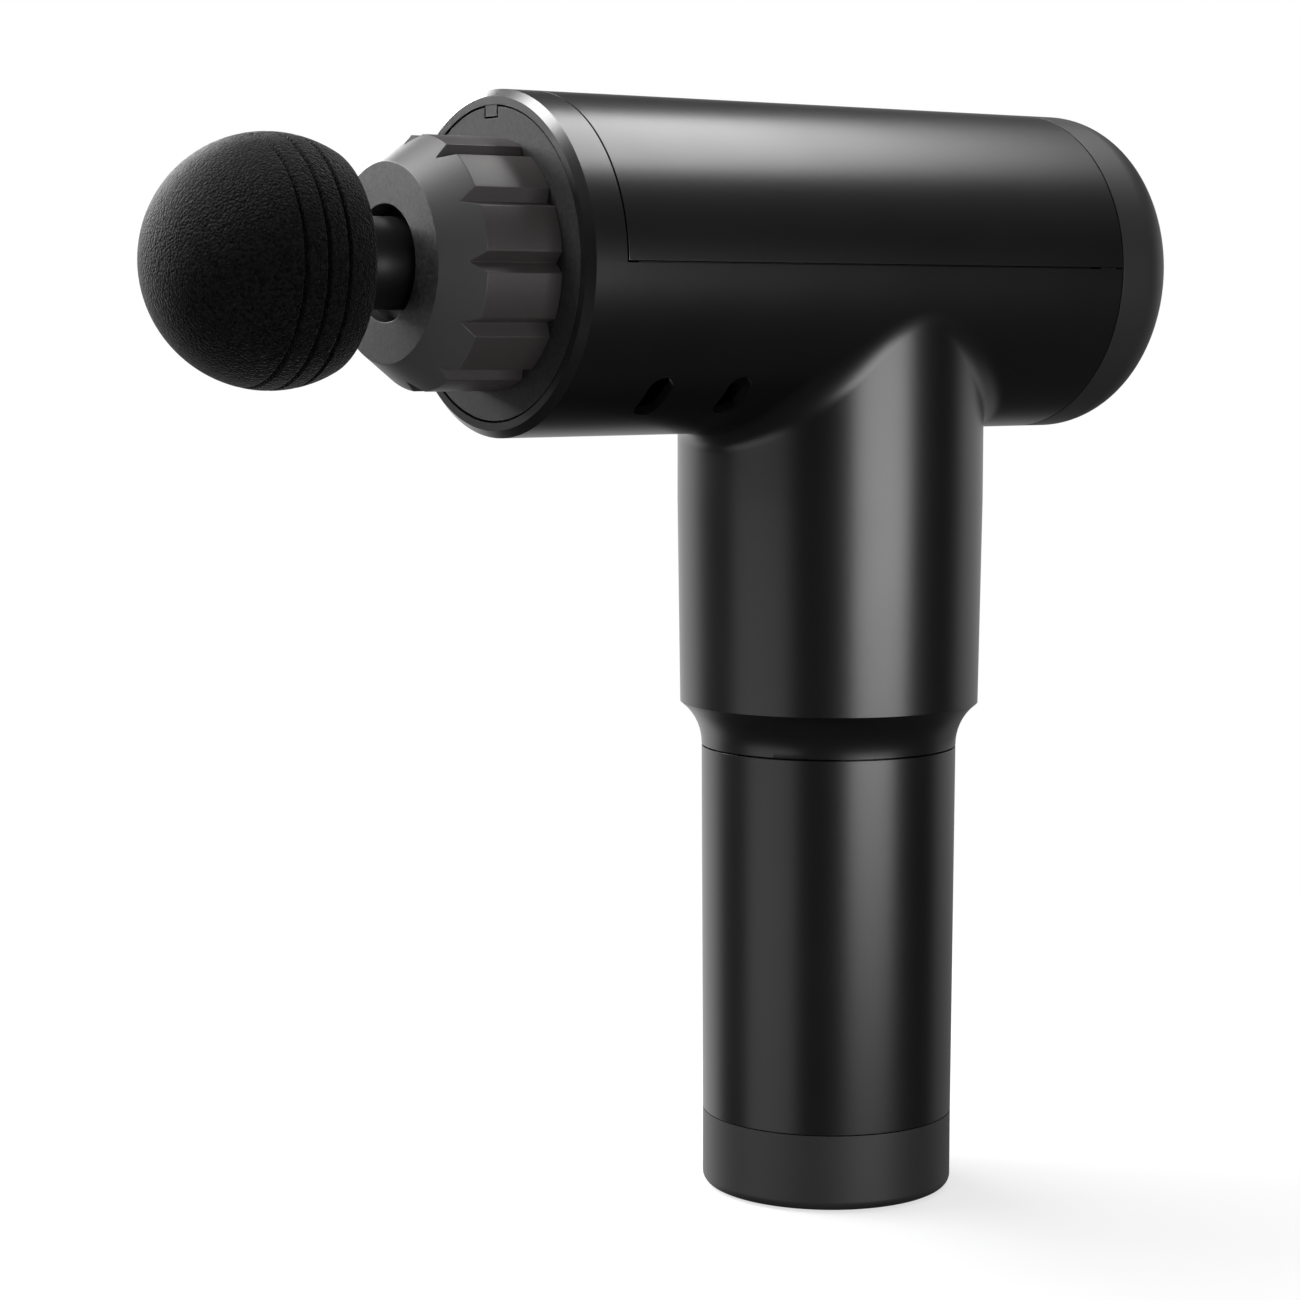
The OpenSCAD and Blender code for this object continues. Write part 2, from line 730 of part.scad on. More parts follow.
module guide_cylinder() {
    color([0.7, 0.71, 0.73])
    translate([0, 0, barrel_axis_z]) difference() {
        union() {
            rod_x(guide_front_x, guide_back_x, guide_r, $fn = 96);
            rod_x(flange_x, flange_x + flange_t, flange_r, $fn = 96);
        }
        rod_x(guide_front_x - 1, guide_front_x + bush_len + fit, guide_in_r, $fn = 96);
        rod_x(guide_back_x - bush_len - fit, guide_back_x + 1, guide_in_r, $fn = 96);
        rod_x(guide_front_x, guide_back_x, bush_r - 1.2, $fn = 96);
        round_x(4, 45) translate([flange_x - 1, 0, guide_screw_r]) rotate([0, 90, 0]) {
            cylinder(h = flange_t + 2, r = guide_screw[0] + 0.2 + fit, $fn = 24);
            cylinder(h = 1 + 1.4 + 2 * fit, r = guide_screw[2] + fit, $fn = 24);
        }
        round_x(3) translate([flange_x - 1, 0, nose_screw_r]) rotate([0, 90, 0]) {
            cylinder(h = flange_t + 2, r = nose_screw[0] + fit, $fn = 24);
            translate([0, 0, flange_t - 1.5 + 1 - fit]) cylinder(h = 3, r = nose_screw[2] + fit, $fn = 24);
        }
    }
}

module guide_screws() {
    color([0.6, 0.6, 0.62])
    translate([0, 0, barrel_axis_z]) round_x(4, 45)
        translate([flange_x + 1.4 + fit, 0, guide_screw_r]) rotate([0, -90, 0]) screw(guide_screw);
}

module damper_ring() {
    color([0.06, 0.06, 0.06])
    translate([0, 0, barrel_axis_z]) difference() {
        ring_x(damper_x, damper_x + damper_t, flange_r, guide_r + 1.2, $fn = 96);
        round_x(3) translate([damper_x - 1, 0, nose_screw_r]) rotate([0, 90, 0])
            cylinder(h = damper_t + 2, r = 2.6, $fn = 24);
        round_x(4, 45) translate([damper_x - 1, 0, guide_screw_r]) rotate([0, 90, 0])
            cylinder(h = damper_t + 2, r = guide_screw[0] + fit, $fn = 24);
    }
}

// A flanged plastic bush that guides the plunger
module bush(x0) {
    ring_x(x0, x0 + bush_len, bush_r, plunger_r + run, $fn = 96);
}

module front_bush() {
    color([0.85, 0.83, 0.75]) translate([0, 0, barrel_axis_z]) bush(guide_front_x);
}

module rear_bush() {
    color([0.85, 0.83, 0.75]) translate([0, 0, barrel_axis_z]) bush(guide_back_x - bush_len);
}

// ---------- drive ----------

module plunger() {
    color([0.75, 0.76, 0.78])
    translate([0, 0, barrel_axis_z]) difference() {
        rod_x(plunger_front_x, plunger_back_x, plunger_r, $fn = 96);
        rod_x(plunger_front_x - 1, socket_floor_x, stem_r + 0.06, $fn = 96);
        // fork for the rod's front eye
        translate([slot_root_x, -plunger_r - 1, -ear_gap]) cube([rod_len, plunger_d + 2, 2 * ear_gap]);
        translate([rest_wrist_x, 0, -plunger_r - 1]) cylinder(h = plunger_d + 2, r = pin_r + run, $fn = 48);
    }
}

module connecting_rod() {
    color([0.55, 0.56, 0.58])
    translate([0, 0, barrel_axis_z - rod_t / 2]) difference() {
        union() {
            translate([crank_e, 0, 0]) cylinder(h = rod_t, r = big_eye_r, $fn = 96);
            translate([rest_wrist_x, 0, 0]) cylinder(h = rod_t, r = small_eye_r, $fn = 64);
            translate([rest_wrist_x, -small_eye_r * 0.72, 0]) cube([rod_len, small_eye_r * 1.44, rod_t]);
        }
        translate([crank_e, 0, -1]) cylinder(h = rod_t + 2, r = big_bearing_r + fit, $fn = 96);
        translate([rest_wrist_x, 0, -1]) cylinder(h = rod_t + 2, r = pin_r + 1.5 + fit, $fn = 48);
        // weight pocket in each face of the shank
        for (z = [-1, rod_t - 1.8])
            translate([rest_wrist_x + small_eye_r + 1.5, -2.6, z])
                cube([rod_len - small_eye_r - big_eye_r - 3, 5.2, 2.8]);
    }
}

module big_end_bearing() {
    color([0.7, 0.72, 0.74])
    translate([crank_e, 0, barrel_axis_z - bearing_t / 2])
        bearing(pin_r + run, big_bearing_r, bearing_t, $fn = 96);
}

module small_end_bush() {
    color([0.72, 0.55, 0.25])
    translate([rest_wrist_x, 0, barrel_axis_z]) ring_z(-rod_t / 2, rod_t, pin_r + 1.5, pin_r + fit, $fn = 48);
}

module wrist_pin() {
    color([0.8, 0.8, 0.82])
    translate([rest_wrist_x, 0, barrel_axis_z]) cylinder(h = rod_t, r = pin_r, center = true, $fn = 48);
}

module crank_disc() {
    color([0.5, 0.5, 0.52])
    translate([0, 0, barrel_axis_z + disc_low]) difference() {
        union() {
            cylinder(h = disc_t, r = crank_e + pin_r + 3.5, $fn = 96);
            // counterweight, opposite the pin
            intersection() {
                cylinder(h = disc_t, r = rotor_r - 3.5, $fn = 96);
                rotate([0, 0, 115]) cube([60, 60, disc_t]);
                rotate([0, 0, 155]) cube([60, 60, disc_t]);
            }
            intersection() {
                cylinder(h = disc_t, r = rotor_r - 3.5, $fn = 96);
                translate([-60, -11, 0]) cube([60, 22, disc_t]);
            }
        }
        translate([0, 0, -1]) cylinder(h = 1 + shaft_grip, r = shaft_r + fit, $fn = 48);
        translate([crank_e, 0, pin_foot - disc_low - fit]) cylinder(h = disc_t, r = pin_r + fit, $fn = 48);
    }
}

module crank_pin() {
    color([0.8, 0.8, 0.82])
    translate([crank_e, 0, barrel_axis_z]) {
        translate([0, 0, pin_foot]) cylinder(h = pin_top - pin_foot, r = pin_r, $fn = 48);
        translate([0, 0, pin_top - 1]) cylinder(h = 2.6, r = pin_r - 0.5, $fn = 48);
    }
}

module crank_clip() {
    color([0.45, 0.45, 0.47])
    translate([crank_e, 0, barrel_axis_z + pin_top]) difference() {
        cylinder(h = 0.8, r = pin_r + 2, $fn = 48);
        translate([0, 0, -1]) cylinder(h = 3, r = pin_r - 0.5 + fit, $fn = 48);
        translate([0, -1, -1]) cube([10, 2, 3]);
    }
}

// ---------- motor ----------

module motor_shaft() {
    color([0.82, 0.82, 0.84])
    translate([0, 0, barrel_axis_z + bracket_low])
        cylinder(h = disc_low + shaft_grip - fit - bracket_low, r = shaft_r, $fn = 48);
}

module rotor_can() {
    color([0.28, 0.28, 0.3])
    translate([0, 0, barrel_axis_z]) difference() {
        translate([0, 0, can_low]) cylinder(h = rotor_h, r = rotor_r, $fn = 96);
        translate([0, 0, can_low - 1]) cylinder(h = rotor_h - 1, r = rotor_r - can_wall, $fn = 96);
        translate([0, 0, can_top - 5]) cylinder(h = 10, r = shaft_r + fit, $fn = 48);
        round_z(6) translate([rotor_r * 0.6, 0, can_top - 5]) cylinder(h = 10, r = rotor_r * 0.16, $fn = 32);
    }
}

module rotor_magnets() {
    color([0.75, 0.75, 0.77])
    translate([0, 0, barrel_axis_z]) round_z(magnet_count) intersection() {
        ring_z(stack_low - 0.5, stack_h + 1, rotor_r - can_wall - fit, rotor_r - can_wall - magnet_t, $fn = 96);
        width = 2 * PI * rotor_r / magnet_count * 0.8;
        translate([0, -width / 2, stack_low - 1]) cube([rotor_r, width, stack_h + 3]);
    }
}

// One stator tooth: a neck and a shoe
module stator_tooth() {
    translate([bearing_tube_r, -1.5, 0]) cube([stator_r - bearing_tube_r - 1, 3, stack_h]);
    intersection() {
        ring_z(0, stack_h, stator_r, stator_r - 1.8, $fn = 96);
        shoe = 2 * PI * stator_r / tooth_count - 1.6;
        translate([0, -shoe / 2, -1]) cube([stator_r + 1, shoe, stack_h + 2]);
    }
}

module stator_core() {
    color([0.45, 0.46, 0.5])
    translate([0, 0, barrel_axis_z + stack_low]) union() {
        ring_z(0, stack_h, bearing_tube_r + 2.4, bearing_tube_r + fit, $fn = 96);
        difference() {
            round_z(tooth_count) stator_tooth();
            translate([0, 0, -1]) cylinder(h = stack_h + 2, r = bearing_tube_r + 1, $fn = 96);
        }
    }
}

module stator_windings() {
    color([0.72, 0.35, 0.15])
    translate([0, 0, barrel_axis_z + stack_low]) round_z(tooth_count) {
        inner = bearing_tube_r + 2.6;
        pitch_w = 2 * PI * inner / tooth_count;
        width = min(pitch_w - 0.5, 5);
        translate([inner, 0, -0.9]) difference() {
            translate([0, -width / 2, 0]) cube([stator_r - 2.1 - inner, width, stack_h + 1.8]);
            translate([-1, -1.55, 0.85]) cube([stator_r, 3.1, stack_h + 0.1]);
        }
    }
}

module sensor_board() {
    color([0.05, 0.25, 0.12])
    translate([0, 0, barrel_axis_z])
        ring_z(bracket_top + fit, board_t, stator_r - 2, bearing_tube_r + fit, $fn = 96);
}

module motor_bearing_lower() {
    color([0.7, 0.72, 0.74])
    translate([0, 0, barrel_axis_z + bracket_low + 1]) bearing(shaft_r + run, bearing_r, bearing_h, $fn = 64);
}

module motor_bearing_upper() {
    color([0.7, 0.72, 0.74])
    translate([0, 0, barrel_axis_z + tube_top - bearing_h])
        bearing(shaft_r + run, bearing_r, bearing_h, $fn = 64);
}

module motor_bracket() {
    color([0.66, 0.67, 0.69])
    translate([0, 0, barrel_axis_z]) difference() {
        union() {
            translate([0, 0, bracket_low]) cylinder(h = bracket_t, r = bracket_r, $fn = 96);
            translate([0, 0, bracket_low]) cylinder(h = tube_top - bracket_low, r = bearing_tube_r, $fn = 64);
        }
        translate([0, 0, bracket_low - 1]) cylinder(h = 100, r = shaft_r + 1.2, $fn = 48);
        translate([0, 0, bracket_low + 1 - fit])
            cylinder(h = bearing_h + 2 * fit, r = bearing_r + fit, $fn = 64);
        translate([0, 0, tube_top - bearing_h - fit]) cylinder(h = 50, r = bearing_r + fit, $fn = 64);
        round_z(3, 60) translate([bracket_screw_r, 0, bracket_low - 1])
            cylinder(h = bracket_t + 2, r = bracket_screw[0] + fit, $fn = 24);
        // opening for the leads, and one for the ribbon at the back
        translate([-16, -5, bracket_low - 1]) cube([5, 10, bracket_t + 2]);
        translate([bracket_r - 2.5, -6, bracket_low - 1]) cube([6, 12, bracket_t + 2]);
    }
}

module bracket_screws() {
    color([0.6, 0.6, 0.62])
    translate([0, 0, barrel_axis_z]) round_z(3, 60)
        translate([bracket_screw_r, 0, bracket_top + fit]) screw(bracket_screw);
}

// Three phase leads from the motor down to the driver board
module motor_leads() {
    color([0.6, 0.15, 0.1])
    translate([0, 0, barrel_axis_z])
        for (i = [-1, 0, 1]) translate([-13, i * 2.6, driver_top - 6]) {
            cylinder(h = bracket_top - driver_top + 6, r = 0.9, $fn = 24);
            translate([0, 0, 0.9]) rotate([0, 90, 0]) cylinder(h = 13 - board_t / 2 - fit, r = 0.9, $fn = 24);
            sphere(r = 0.9, $fn = 24);
        }
}

module driver_board() {
    color([0.05, 0.25, 0.12])
    translate([0, 0, barrel_axis_z + driver_top - driver_h]) {
        face = board_t / 2;
        translate([-face, -driver_w / 2, 0]) cube([board_t, driver_w, driver_h]);
        // three switching transistors, the controller, the capacitor and the contacts' plug
        for (i = [-1, 0, 1])
            translate([face, i * 2 * fet_w - fet_w / 2, driver_h / 2]) cube([2, fet_w, fet_w]);
        translate([face, -5, 5]) cube([1.5, 8, 7]);
        translate([face + capacitor_r - 0.1, 12, 8]) rotate([90, 0, 0])
            cylinder(h = 8, r = capacitor_r, $fn = 48);
        translate([-face - driver_plug[0], -driver_plug[1] / 2, 2]) cube(driver_plug);
    }
}

// Flat ribbon from the rear panel's board, along the barrel and down behind the motor
module panel_ribbon() {
    color([0.75, 0.75, 0.78])
    translate([0, ribbon_w / 2, barrel_axis_z]) rotate([90, 0, 0]) linear_extrude(height = ribbon_w) {
        t = ribbon_t;
        back = grip_in_r - 1.6;
        low = -barrel_in_r + 2.6;
        down = driver_top - 8;
        polygon([
            [board_x - fit, plug_z], [board_x - fit, plug_z - t], [board_x - 4, plug_z - t],
            [board_x - 8, low], [back + 1, low], [back + 0.2, low - 1],
            [back + 0.2, down - t], [board_t / 2 + fit, down - t], [board_t / 2 + fit, down],
            [back + 0.2 - t, down], [back + 0.2 - t, low - 0.6], [back + 0.6, low + t],
            [board_x - 8.4, low + t], [board_x - 4.4, plug_z]
        ]);
    }
}

// Sprung contacts that pass through the roof of the battery socket
module socket_contacts() {
    color([0.85, 0.7, 0.3])
    round_z(3) translate([contact_ring_r, 0, socket_roof_z - 0.6]) {
        cylinder(h = socket_wall + 1.6, r = 1.5, $fn = 32);
        translate([0, 0, 0.6 + socket_wall + fit]) cylinder(h = 1.2, r = pad_r, $fn = 32);
    }
}

// ---------- battery ----------

module battery_cap() {
    color([0.10, 0.10, 0.11])
    difference() {
        union() {
            translate([0, 0, seam_z - 4]) cylinder(h = spigot_len + 4, r = spigot_r, $fn = 128);
            // bayonet lugs sit flush with the spigot's shoulder
            translate([0, 0, seam_z - 4]) cylinder(h = 3.4, r = tube_r - tube_wall - 0.15, $fn = 128);
        }
        translate([0, 0, seam_z - 5]) cylinder(h = spigot_len + 5 - cap_roof, r = spigot_r - 2, $fn = 128);
        round_z(3) translate([contact_ring_r, 0, seam_z + spigot_len - 4])
            cylinder(h = 6, r = contact_r + fit, $fn = 32);
    }
}

module contact_pins() {
    color([0.85, 0.7, 0.3])
    round_z(3) translate([contact_ring_r, 0, seam_z + spigot_len - cap_roof - fit]) {
        cylinder(h = cap_roof + fit, r = contact_r, $fn = 32);
        translate([0, 0, -0.8]) cylinder(h = 0.8, r = pad_r, $fn = 32);
    }
}

module battery_tube() {
    color([0.11, 0.11, 0.12])
    difference() {
        translate([0, 0, base_h + 0.15])
            cylinder(h = seam_z - seam - base_h - 0.15, r1 = tube_low_r, r2 = tube_r, $fn = 128);
        translate([0, 0, base_h - 1])
            cylinder(h = seam_z - base_h + 2, r1 = tube_low_r - tube_wall, r2 = tube_r - tube_wall, $fn = 128);
    }
}

// Copies its children to the four cells' axes
module at_cells() {
    for (x = [-1, 1], y = [-1, 1]) translate([x * cell_pitch / 2, y * cell_pitch / 2, 0]) children();
}

module cell_holder(z, pocket_z) {
    difference() {
        translate([0, 0, z]) cylinder(h = holder_t, r = holder_r, $fn = 96);
        at_cells() translate([0, 0, pocket_z]) cylinder(h = holder_t, r = cell_r + 0.05, $fn = 64);
        at_cells() translate([0, 0, z - 1]) cylinder(h = holder_t + 2, r = cell_r - 2.5, $fn = 48);
        // slots for the nickel strips
        for (x = [-1, 1])
            translate([x * cell_pitch / 2 - strip_w / 2 - 0.2, -strip_len / 2 - 0.2, z - 1])
                cube([strip_w + 0.4, strip_len + 0.4, holder_t + 2]);
    }
}

module cell_holder_bottom() {
    color([0.85, 0.85, 0.8]) {
        cell_holder(holder_low_z, cell_low_z);
        // posts for the base screws
        foot = recess + floor_t + fit;
        round_z(3, 30) translate([screw_r, 0, foot]) difference() {
            cylinder(h = holder_low_z - foot + 0.5, r = post_r, $fn = 32);
            translate([0, 0, -1]) cylinder(h = 7, r = 1.1 + fit, $fn = 24);
        }
    }
}

module cell_holder_top() {
    color([0.85, 0.85, 0.8]) cell_holder(cell_top_z - 3, cell_top_z - holder_t);
}

module battery_cells() {
    color([0.2, 0.45, 0.3])
    at_cells() translate([0, 0, cell_low_z + fit]) {
        cylinder(h = cell_len - 1.2, r = cell_r, $fn = 64);
        cylinder(h = cell_len - 2 * fit, r = 3.6, $fn = 32);
    }
}

module nickel_strips() {
    color([0.8, 0.8, 0.8])
    for (x = [-1, 1])
        translate([x * cell_pitch / 2, 0, 0]) {
            for (z = [cell_top_z, cell_low_z - strip_t])
                translate([-strip_w / 2, -strip_len / 2, z]) cube([strip_w, strip_len, strip_t]);
        }
}

module protection_board() {
    color([0.05, 0.25, 0.12])
    difference() {
        union() {
            translate([0, 0, protection_z]) cylinder(h = board_t, r = holder_r - 0.6, $fn = 96);
            translate([-4, -8, protection_z + board_t]) cube([8, 16, 1.4]);
            for (x = [-1, 1], y = [-1, 1])
                translate([x * board_foot_x, y * board_foot_x / 2, cell_top_z + 1 + fit])
                    cylinder(h = protection_z - cell_top_z - 1, r = 1.5, $fn = 24);
        }
        for (x = [-1, 1]) translate([x * board_foot_x, 0, protection_z - 1]) cylinder(h = 5, r = 1.2, $fn = 24);
    }
}

module base_cap() {
    color([0.16, 0.16, 0.165])
    difference() {
        rotate_extrude($fn = 128) {
            square([tube_low_r - base_round, base_h]);
            translate([0, base_round]) square([tube_low_r, base_h - base_round]);
            intersection() {
                translate([tube_low_r - base_round, base_round]) circle(r = base_round, $fn = 64);
                square([tube_low_r, base_h]);
            }
        }
        translate([0, 0, recess + floor_t]) cylinder(h = base_h, r = tube_low_r - tube_wall, $fn = 128);
        translate([0, 0, -1]) cylinder(h = recess + 1, r = recess_r, $fn = 128);
        translate([0, jack_y, 0]) cylinder(h = 10, r = jack_r + jack_wall + fit, $fn = 48);
        hole = [rocker_w + 2 * switch_wall + 2 * fit, rocker_d + 2 * switch_wall + 2 * fit, 10];
        translate([-hole[0] / 2, switch_y - hole[1] / 2, 0]) cube(hole);
        translate([light_x, jack_y, 0]) cylinder(h = 10, r = light_r + fit, $fn = 32);
        round_z(3, 30) translate([screw_r, 0, 0]) cylinder(h = 10, r = base_screw[0] + fit, $fn = 24);
    }
    // spigot inside the tube, which the lower cell holder stands on
    lip = tube_low_r - tube_wall;
    ring_z(base_h - 2, holder_low_z - fit - base_h + 2, lip - 0.1, lip - 1.4, $fn = 128);
    ring_z(base_h - 3, 2, lip + 0.5, lip - 1.4, $fn = 128);
}

module base_screws() {
    color([0.55, 0.55, 0.57])
    round_z(3, 30) translate([screw_r, 0, recess - fit]) rotate([180, 0, 0]) screw(base_screw);
}

module charge_jack() {
    color([0.07, 0.07, 0.07])
    translate([0, jack_y, recess - 0.4]) {
        difference() {
            cylinder(h = 11, r = jack_r + jack_wall, $fn = 64);
            translate([0, 0, -1]) cylinder(h = 10.5, r = jack_r, $fn = 64);
        }
        translate([0, 0, 0.4]) cylinder(h = 9.4, r = jack_pin_r, $fn = 48);
    }
}

module charge_light() {
    color([0.3, 0.8, 0.4])
    translate([light_x, jack_y, recess - 0.2]) {
        cylinder(h = floor_t + 0.3, r = light_r, $fn = 32);
        translate([0, 0, floor_t + 0.2 + fit]) cylinder(h = 1, r = 2.2, $fn = 32);
    }
}

module switch_frame() {
    color([0.05, 0.05, 0.05])
    translate([0, switch_y, recess - bezel_t]) difference() {
        union() {
            translate([-rocker_w / 2 - switch_wall, -rocker_d / 2 - switch_wall, 0])
                cube([rocker_w + 2 * switch_wall, rocker_d + 2 * switch_wall, 9]);
            soft_box([rocker_w + 5, rocker_d + 5, bezel_t - fit], 1.5);
        }
        translate([-rocker_w / 2, -rocker_d / 2, -1]) cube([rocker_w, rocker_d, 8]);
        translate([0, rocker_d / 2 + 3, pivot_z - recess + bezel_t]) rotate([90, 0, 0])
            cylinder(h = rocker_d + 6, r = 1 + run, $fn = 32);
    }
}

module rocker_switch() {
    half = rocker_w / 2 - 1.1;
    color([0.12, 0.12, 0.12])
    translate([0, switch_y, pivot_z]) rotate([0, -rocker_rest, 0]) {
        for (s = [-1, 1])
            rotate([0, s * rocker_dish, 0]) translate([s > 0 ? 0 : -half, -rocker_d / 2 + 0.3, -3.4])
                cube([half, rocker_d - 0.6, 4.4]);
        translate([0, rocker_d / 2 + 1.2, 0]) rotate([90, 0, 0]) cylinder(h = rocker_d + 2.4, r = 1, $fn = 32);
    }
}

// ---------- head ----------

module ball_foam() {
    color([0.05, 0.05, 0.05])
    translate([ball_x, 0, barrel_axis_z]) difference() {
        sphere(r = ball_r, $fn = 128);
        translate([ball_back, -ball_r, -ball_r]) cube([ball_d, ball_d, ball_d]);
        // three shallow grooves behind the widest part
        for (x = [for (i = [0:2]) groove_x + i * groove_pitch])
            rotate([0, 90, 0]) translate([0, 0, x]) rotate_extrude($fn = 128)
                translate([sqrt(ball_r * ball_r - x * x), 0]) circle(r = ball_groove, $fn = 24);
        rod_x(-4, ball_d, 7.03);
        rod_x(ball_back - 3, ball_d, 14.03);
    }
}

module head_stem() {
    color([0.09, 0.09, 0.09])
    translate([0, 0, barrel_axis_z]) difference() {
        union() {
            rod_x(ball_x - 4 + fit, ball_flat_x, 7, $fn = 64);
            rod_x(ball_flat_x - 3 + fit, ball_flat_x + 0.4, 14, $fn = 96);
            rod_x(ball_flat_x, stem_end_x, stem_r, $fn = 96);
        }
        for (x = o_ring_x) translate([x, 0, 0]) rotate([0, 90, 0])
            ring_z(-0.9, 1.8, stem_r + 1, stem_r - 1, $fn = 96);
    }
}

module head_o_rings() {
    color([0.3, 0.3, 0.3])
    translate([0, 0, barrel_axis_z])
        for (x = o_ring_x) translate([x, 0, 0]) rotate([0, 90, 0])
            rotate_extrude($fn = 96) translate([stem_r - 0.45, 0]) circle(r = 0.48, $fn = 24);
}

main_housing();
top_cover();
rear_cap();
display_panel();
light_ring();
level_lights();
control_board();
control_board_screws();
tact_switch();
power_button();
front_plate();
nose_collar();
nose_wiper();
nose_screws();
guide_cylinder();
guide_screws();
damper_ring();
front_bush();
rear_bush();
plunger();
connecting_rod();
big_end_bearing();
small_end_bush();
wrist_pin();
crank_disc();
crank_pin();
crank_clip();
motor_shaft();
rotor_can();
rotor_magnets();
stator_core();
stator_windings();
sensor_board();
motor_bearing_lower();
motor_bearing_upper();
motor_bracket();
bracket_screws();
motor_leads();
driver_board();
panel_ribbon();
socket_contacts();
battery_cap();
contact_pins();
battery_tube();
cell_holder_top();
cell_holder_bottom();
battery_cells();
nickel_strips();
protection_board();
base_cap();
base_screws();
charge_jack();
charge_light();
switch_frame();
rocker_switch();
ball_foam();
head_stem();
head_o_rings();
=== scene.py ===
"""Cordless percussion massage gun: shells, head, finishes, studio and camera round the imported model.

Lengths in the dataclasses are millimetres in the part's own frame: +Z up the handle, -X towards
the head. A pair is (low, high) or (inner, outer), and in an outline (place along the axis, radius).
Meshes are made in metres.
"""
import json
import logging
import math
from dataclasses import dataclass, field
from enum import Enum
from functools import cache
from typing import Callable, ClassVar, Iterator, Sequence

import bmesh
import bpy
from mathutils import Matrix, Vector

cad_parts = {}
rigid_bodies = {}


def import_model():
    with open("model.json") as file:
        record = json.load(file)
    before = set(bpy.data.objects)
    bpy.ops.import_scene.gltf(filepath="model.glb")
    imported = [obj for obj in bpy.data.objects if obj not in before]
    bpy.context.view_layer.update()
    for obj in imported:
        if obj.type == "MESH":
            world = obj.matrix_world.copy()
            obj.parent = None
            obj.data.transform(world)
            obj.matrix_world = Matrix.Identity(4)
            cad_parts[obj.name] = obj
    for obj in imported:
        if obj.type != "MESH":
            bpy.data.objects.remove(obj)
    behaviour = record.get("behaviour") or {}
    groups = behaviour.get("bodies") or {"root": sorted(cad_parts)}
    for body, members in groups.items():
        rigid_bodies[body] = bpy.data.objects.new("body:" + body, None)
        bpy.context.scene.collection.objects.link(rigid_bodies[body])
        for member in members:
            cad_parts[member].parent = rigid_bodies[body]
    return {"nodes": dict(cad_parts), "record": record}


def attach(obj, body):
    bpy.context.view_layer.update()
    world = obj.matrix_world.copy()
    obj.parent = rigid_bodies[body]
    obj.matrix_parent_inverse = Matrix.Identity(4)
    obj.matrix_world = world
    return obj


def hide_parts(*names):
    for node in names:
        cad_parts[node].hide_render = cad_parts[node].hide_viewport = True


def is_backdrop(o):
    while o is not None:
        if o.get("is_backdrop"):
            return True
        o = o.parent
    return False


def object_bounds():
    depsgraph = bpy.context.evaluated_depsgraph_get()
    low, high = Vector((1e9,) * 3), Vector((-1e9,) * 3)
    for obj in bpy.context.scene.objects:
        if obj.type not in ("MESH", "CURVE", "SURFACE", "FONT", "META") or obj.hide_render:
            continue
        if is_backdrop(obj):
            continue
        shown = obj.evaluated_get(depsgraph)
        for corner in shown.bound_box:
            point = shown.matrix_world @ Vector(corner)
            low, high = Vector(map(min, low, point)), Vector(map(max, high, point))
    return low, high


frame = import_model()
cad_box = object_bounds()

LOG = logging.getLogger("massage_gun")
MM = 0.001
AXIS_Z = 188.0  # height of the barrel's line over the base
BARREL_R = 32.5
REAR_X = 49.85  # where main shell and top cover end
EDGE = 0.12  # rounding of a moulded edge
OVERCUT = 1.0  # how far a cutting tool reaches past what it cuts
TOUCH = 1e-6  # metres within which two vertices are one
Point = tuple[float, float]
Vec = tuple[float, float, float]
Ramp = tuple[float, float, float, float]  # low and high input, result at each
Piece = bpy.types.Object
Socket = bpy.types.NodeSocket
Tree = bpy.types.NodeTree


class Axis(Enum):
    """The line that a turned piece is turned round."""

    BARREL = "X"
    HANDLE = "Z"

    @property
    def centre(self) -> Vector:
        """The line's point over the handle's foot, in metres."""
        return Vector((0, 0, AXIS_Z * MM if self is Axis.BARREL else 0))

    @property
    def direction(self) -> Vec:
        """The line's direction."""
        return (1, 0, 0) if self is Axis.BARREL else (0, 0, 1)


class Boolean(Enum):
    """What a tool's volume does to a piece."""

    REMOVE = "DIFFERENCE"
    ADD = "UNION"


class Blend(Enum):
    """What a Mix node mixes."""

    COLOURS = "RGBA"
    NUMBERS = "FLOAT"


# ---------- bench: edit-mode steps that every sub-assembly uses ----------


def deselect_all() -> None:
    """Leaves edit mode and deselects every object, so that an operator acts on one piece alone."""
    if bpy.context.mode != "OBJECT":
        bpy.ops.object.mode_set(mode="OBJECT")
    for item in bpy.context.view_layer.objects:
        item.select_set(False)


def take(piece: Piece) -> None:
    """Makes the piece the only selected object and the active one.

    Args:
        piece: the object.
    """
    deselect_all()
    piece.select_set(True)
    bpy.context.view_layer.objects.active = piece


def edit_all(piece: Piece) -> None:
    """Opens the piece in edit mode with everything selected.

    Args:
        piece: the object.
    """
    take(piece)
    bpy.ops.object.mode_set(mode="EDIT")
    bpy.ops.mesh.select_all(action="SELECT")


def close_edit() -> None:
    """Goes back to object mode."""
    bpy.ops.object.mode_set(mode="OBJECT")


def named_active(name: str) -> Piece:
    """Names the object that an operator has just made.

    Args:
        name: the piece's name.
    Returns:
        The object.
    """
    piece = bpy.context.object
    piece.name = name
    piece.data.name = name
    return piece


def put(name: str, data: bpy.types.ID) -> Piece:
    """Makes an object of a mesh, lamp or camera in the scene.

    Args:
        name: the object's name.
        data: the mesh, lamp or camera.
    Returns:
        The object.
    """
    item = bpy.data.objects.new(name, data)
    bpy.context.scene.collection.objects.link(item)
    return item


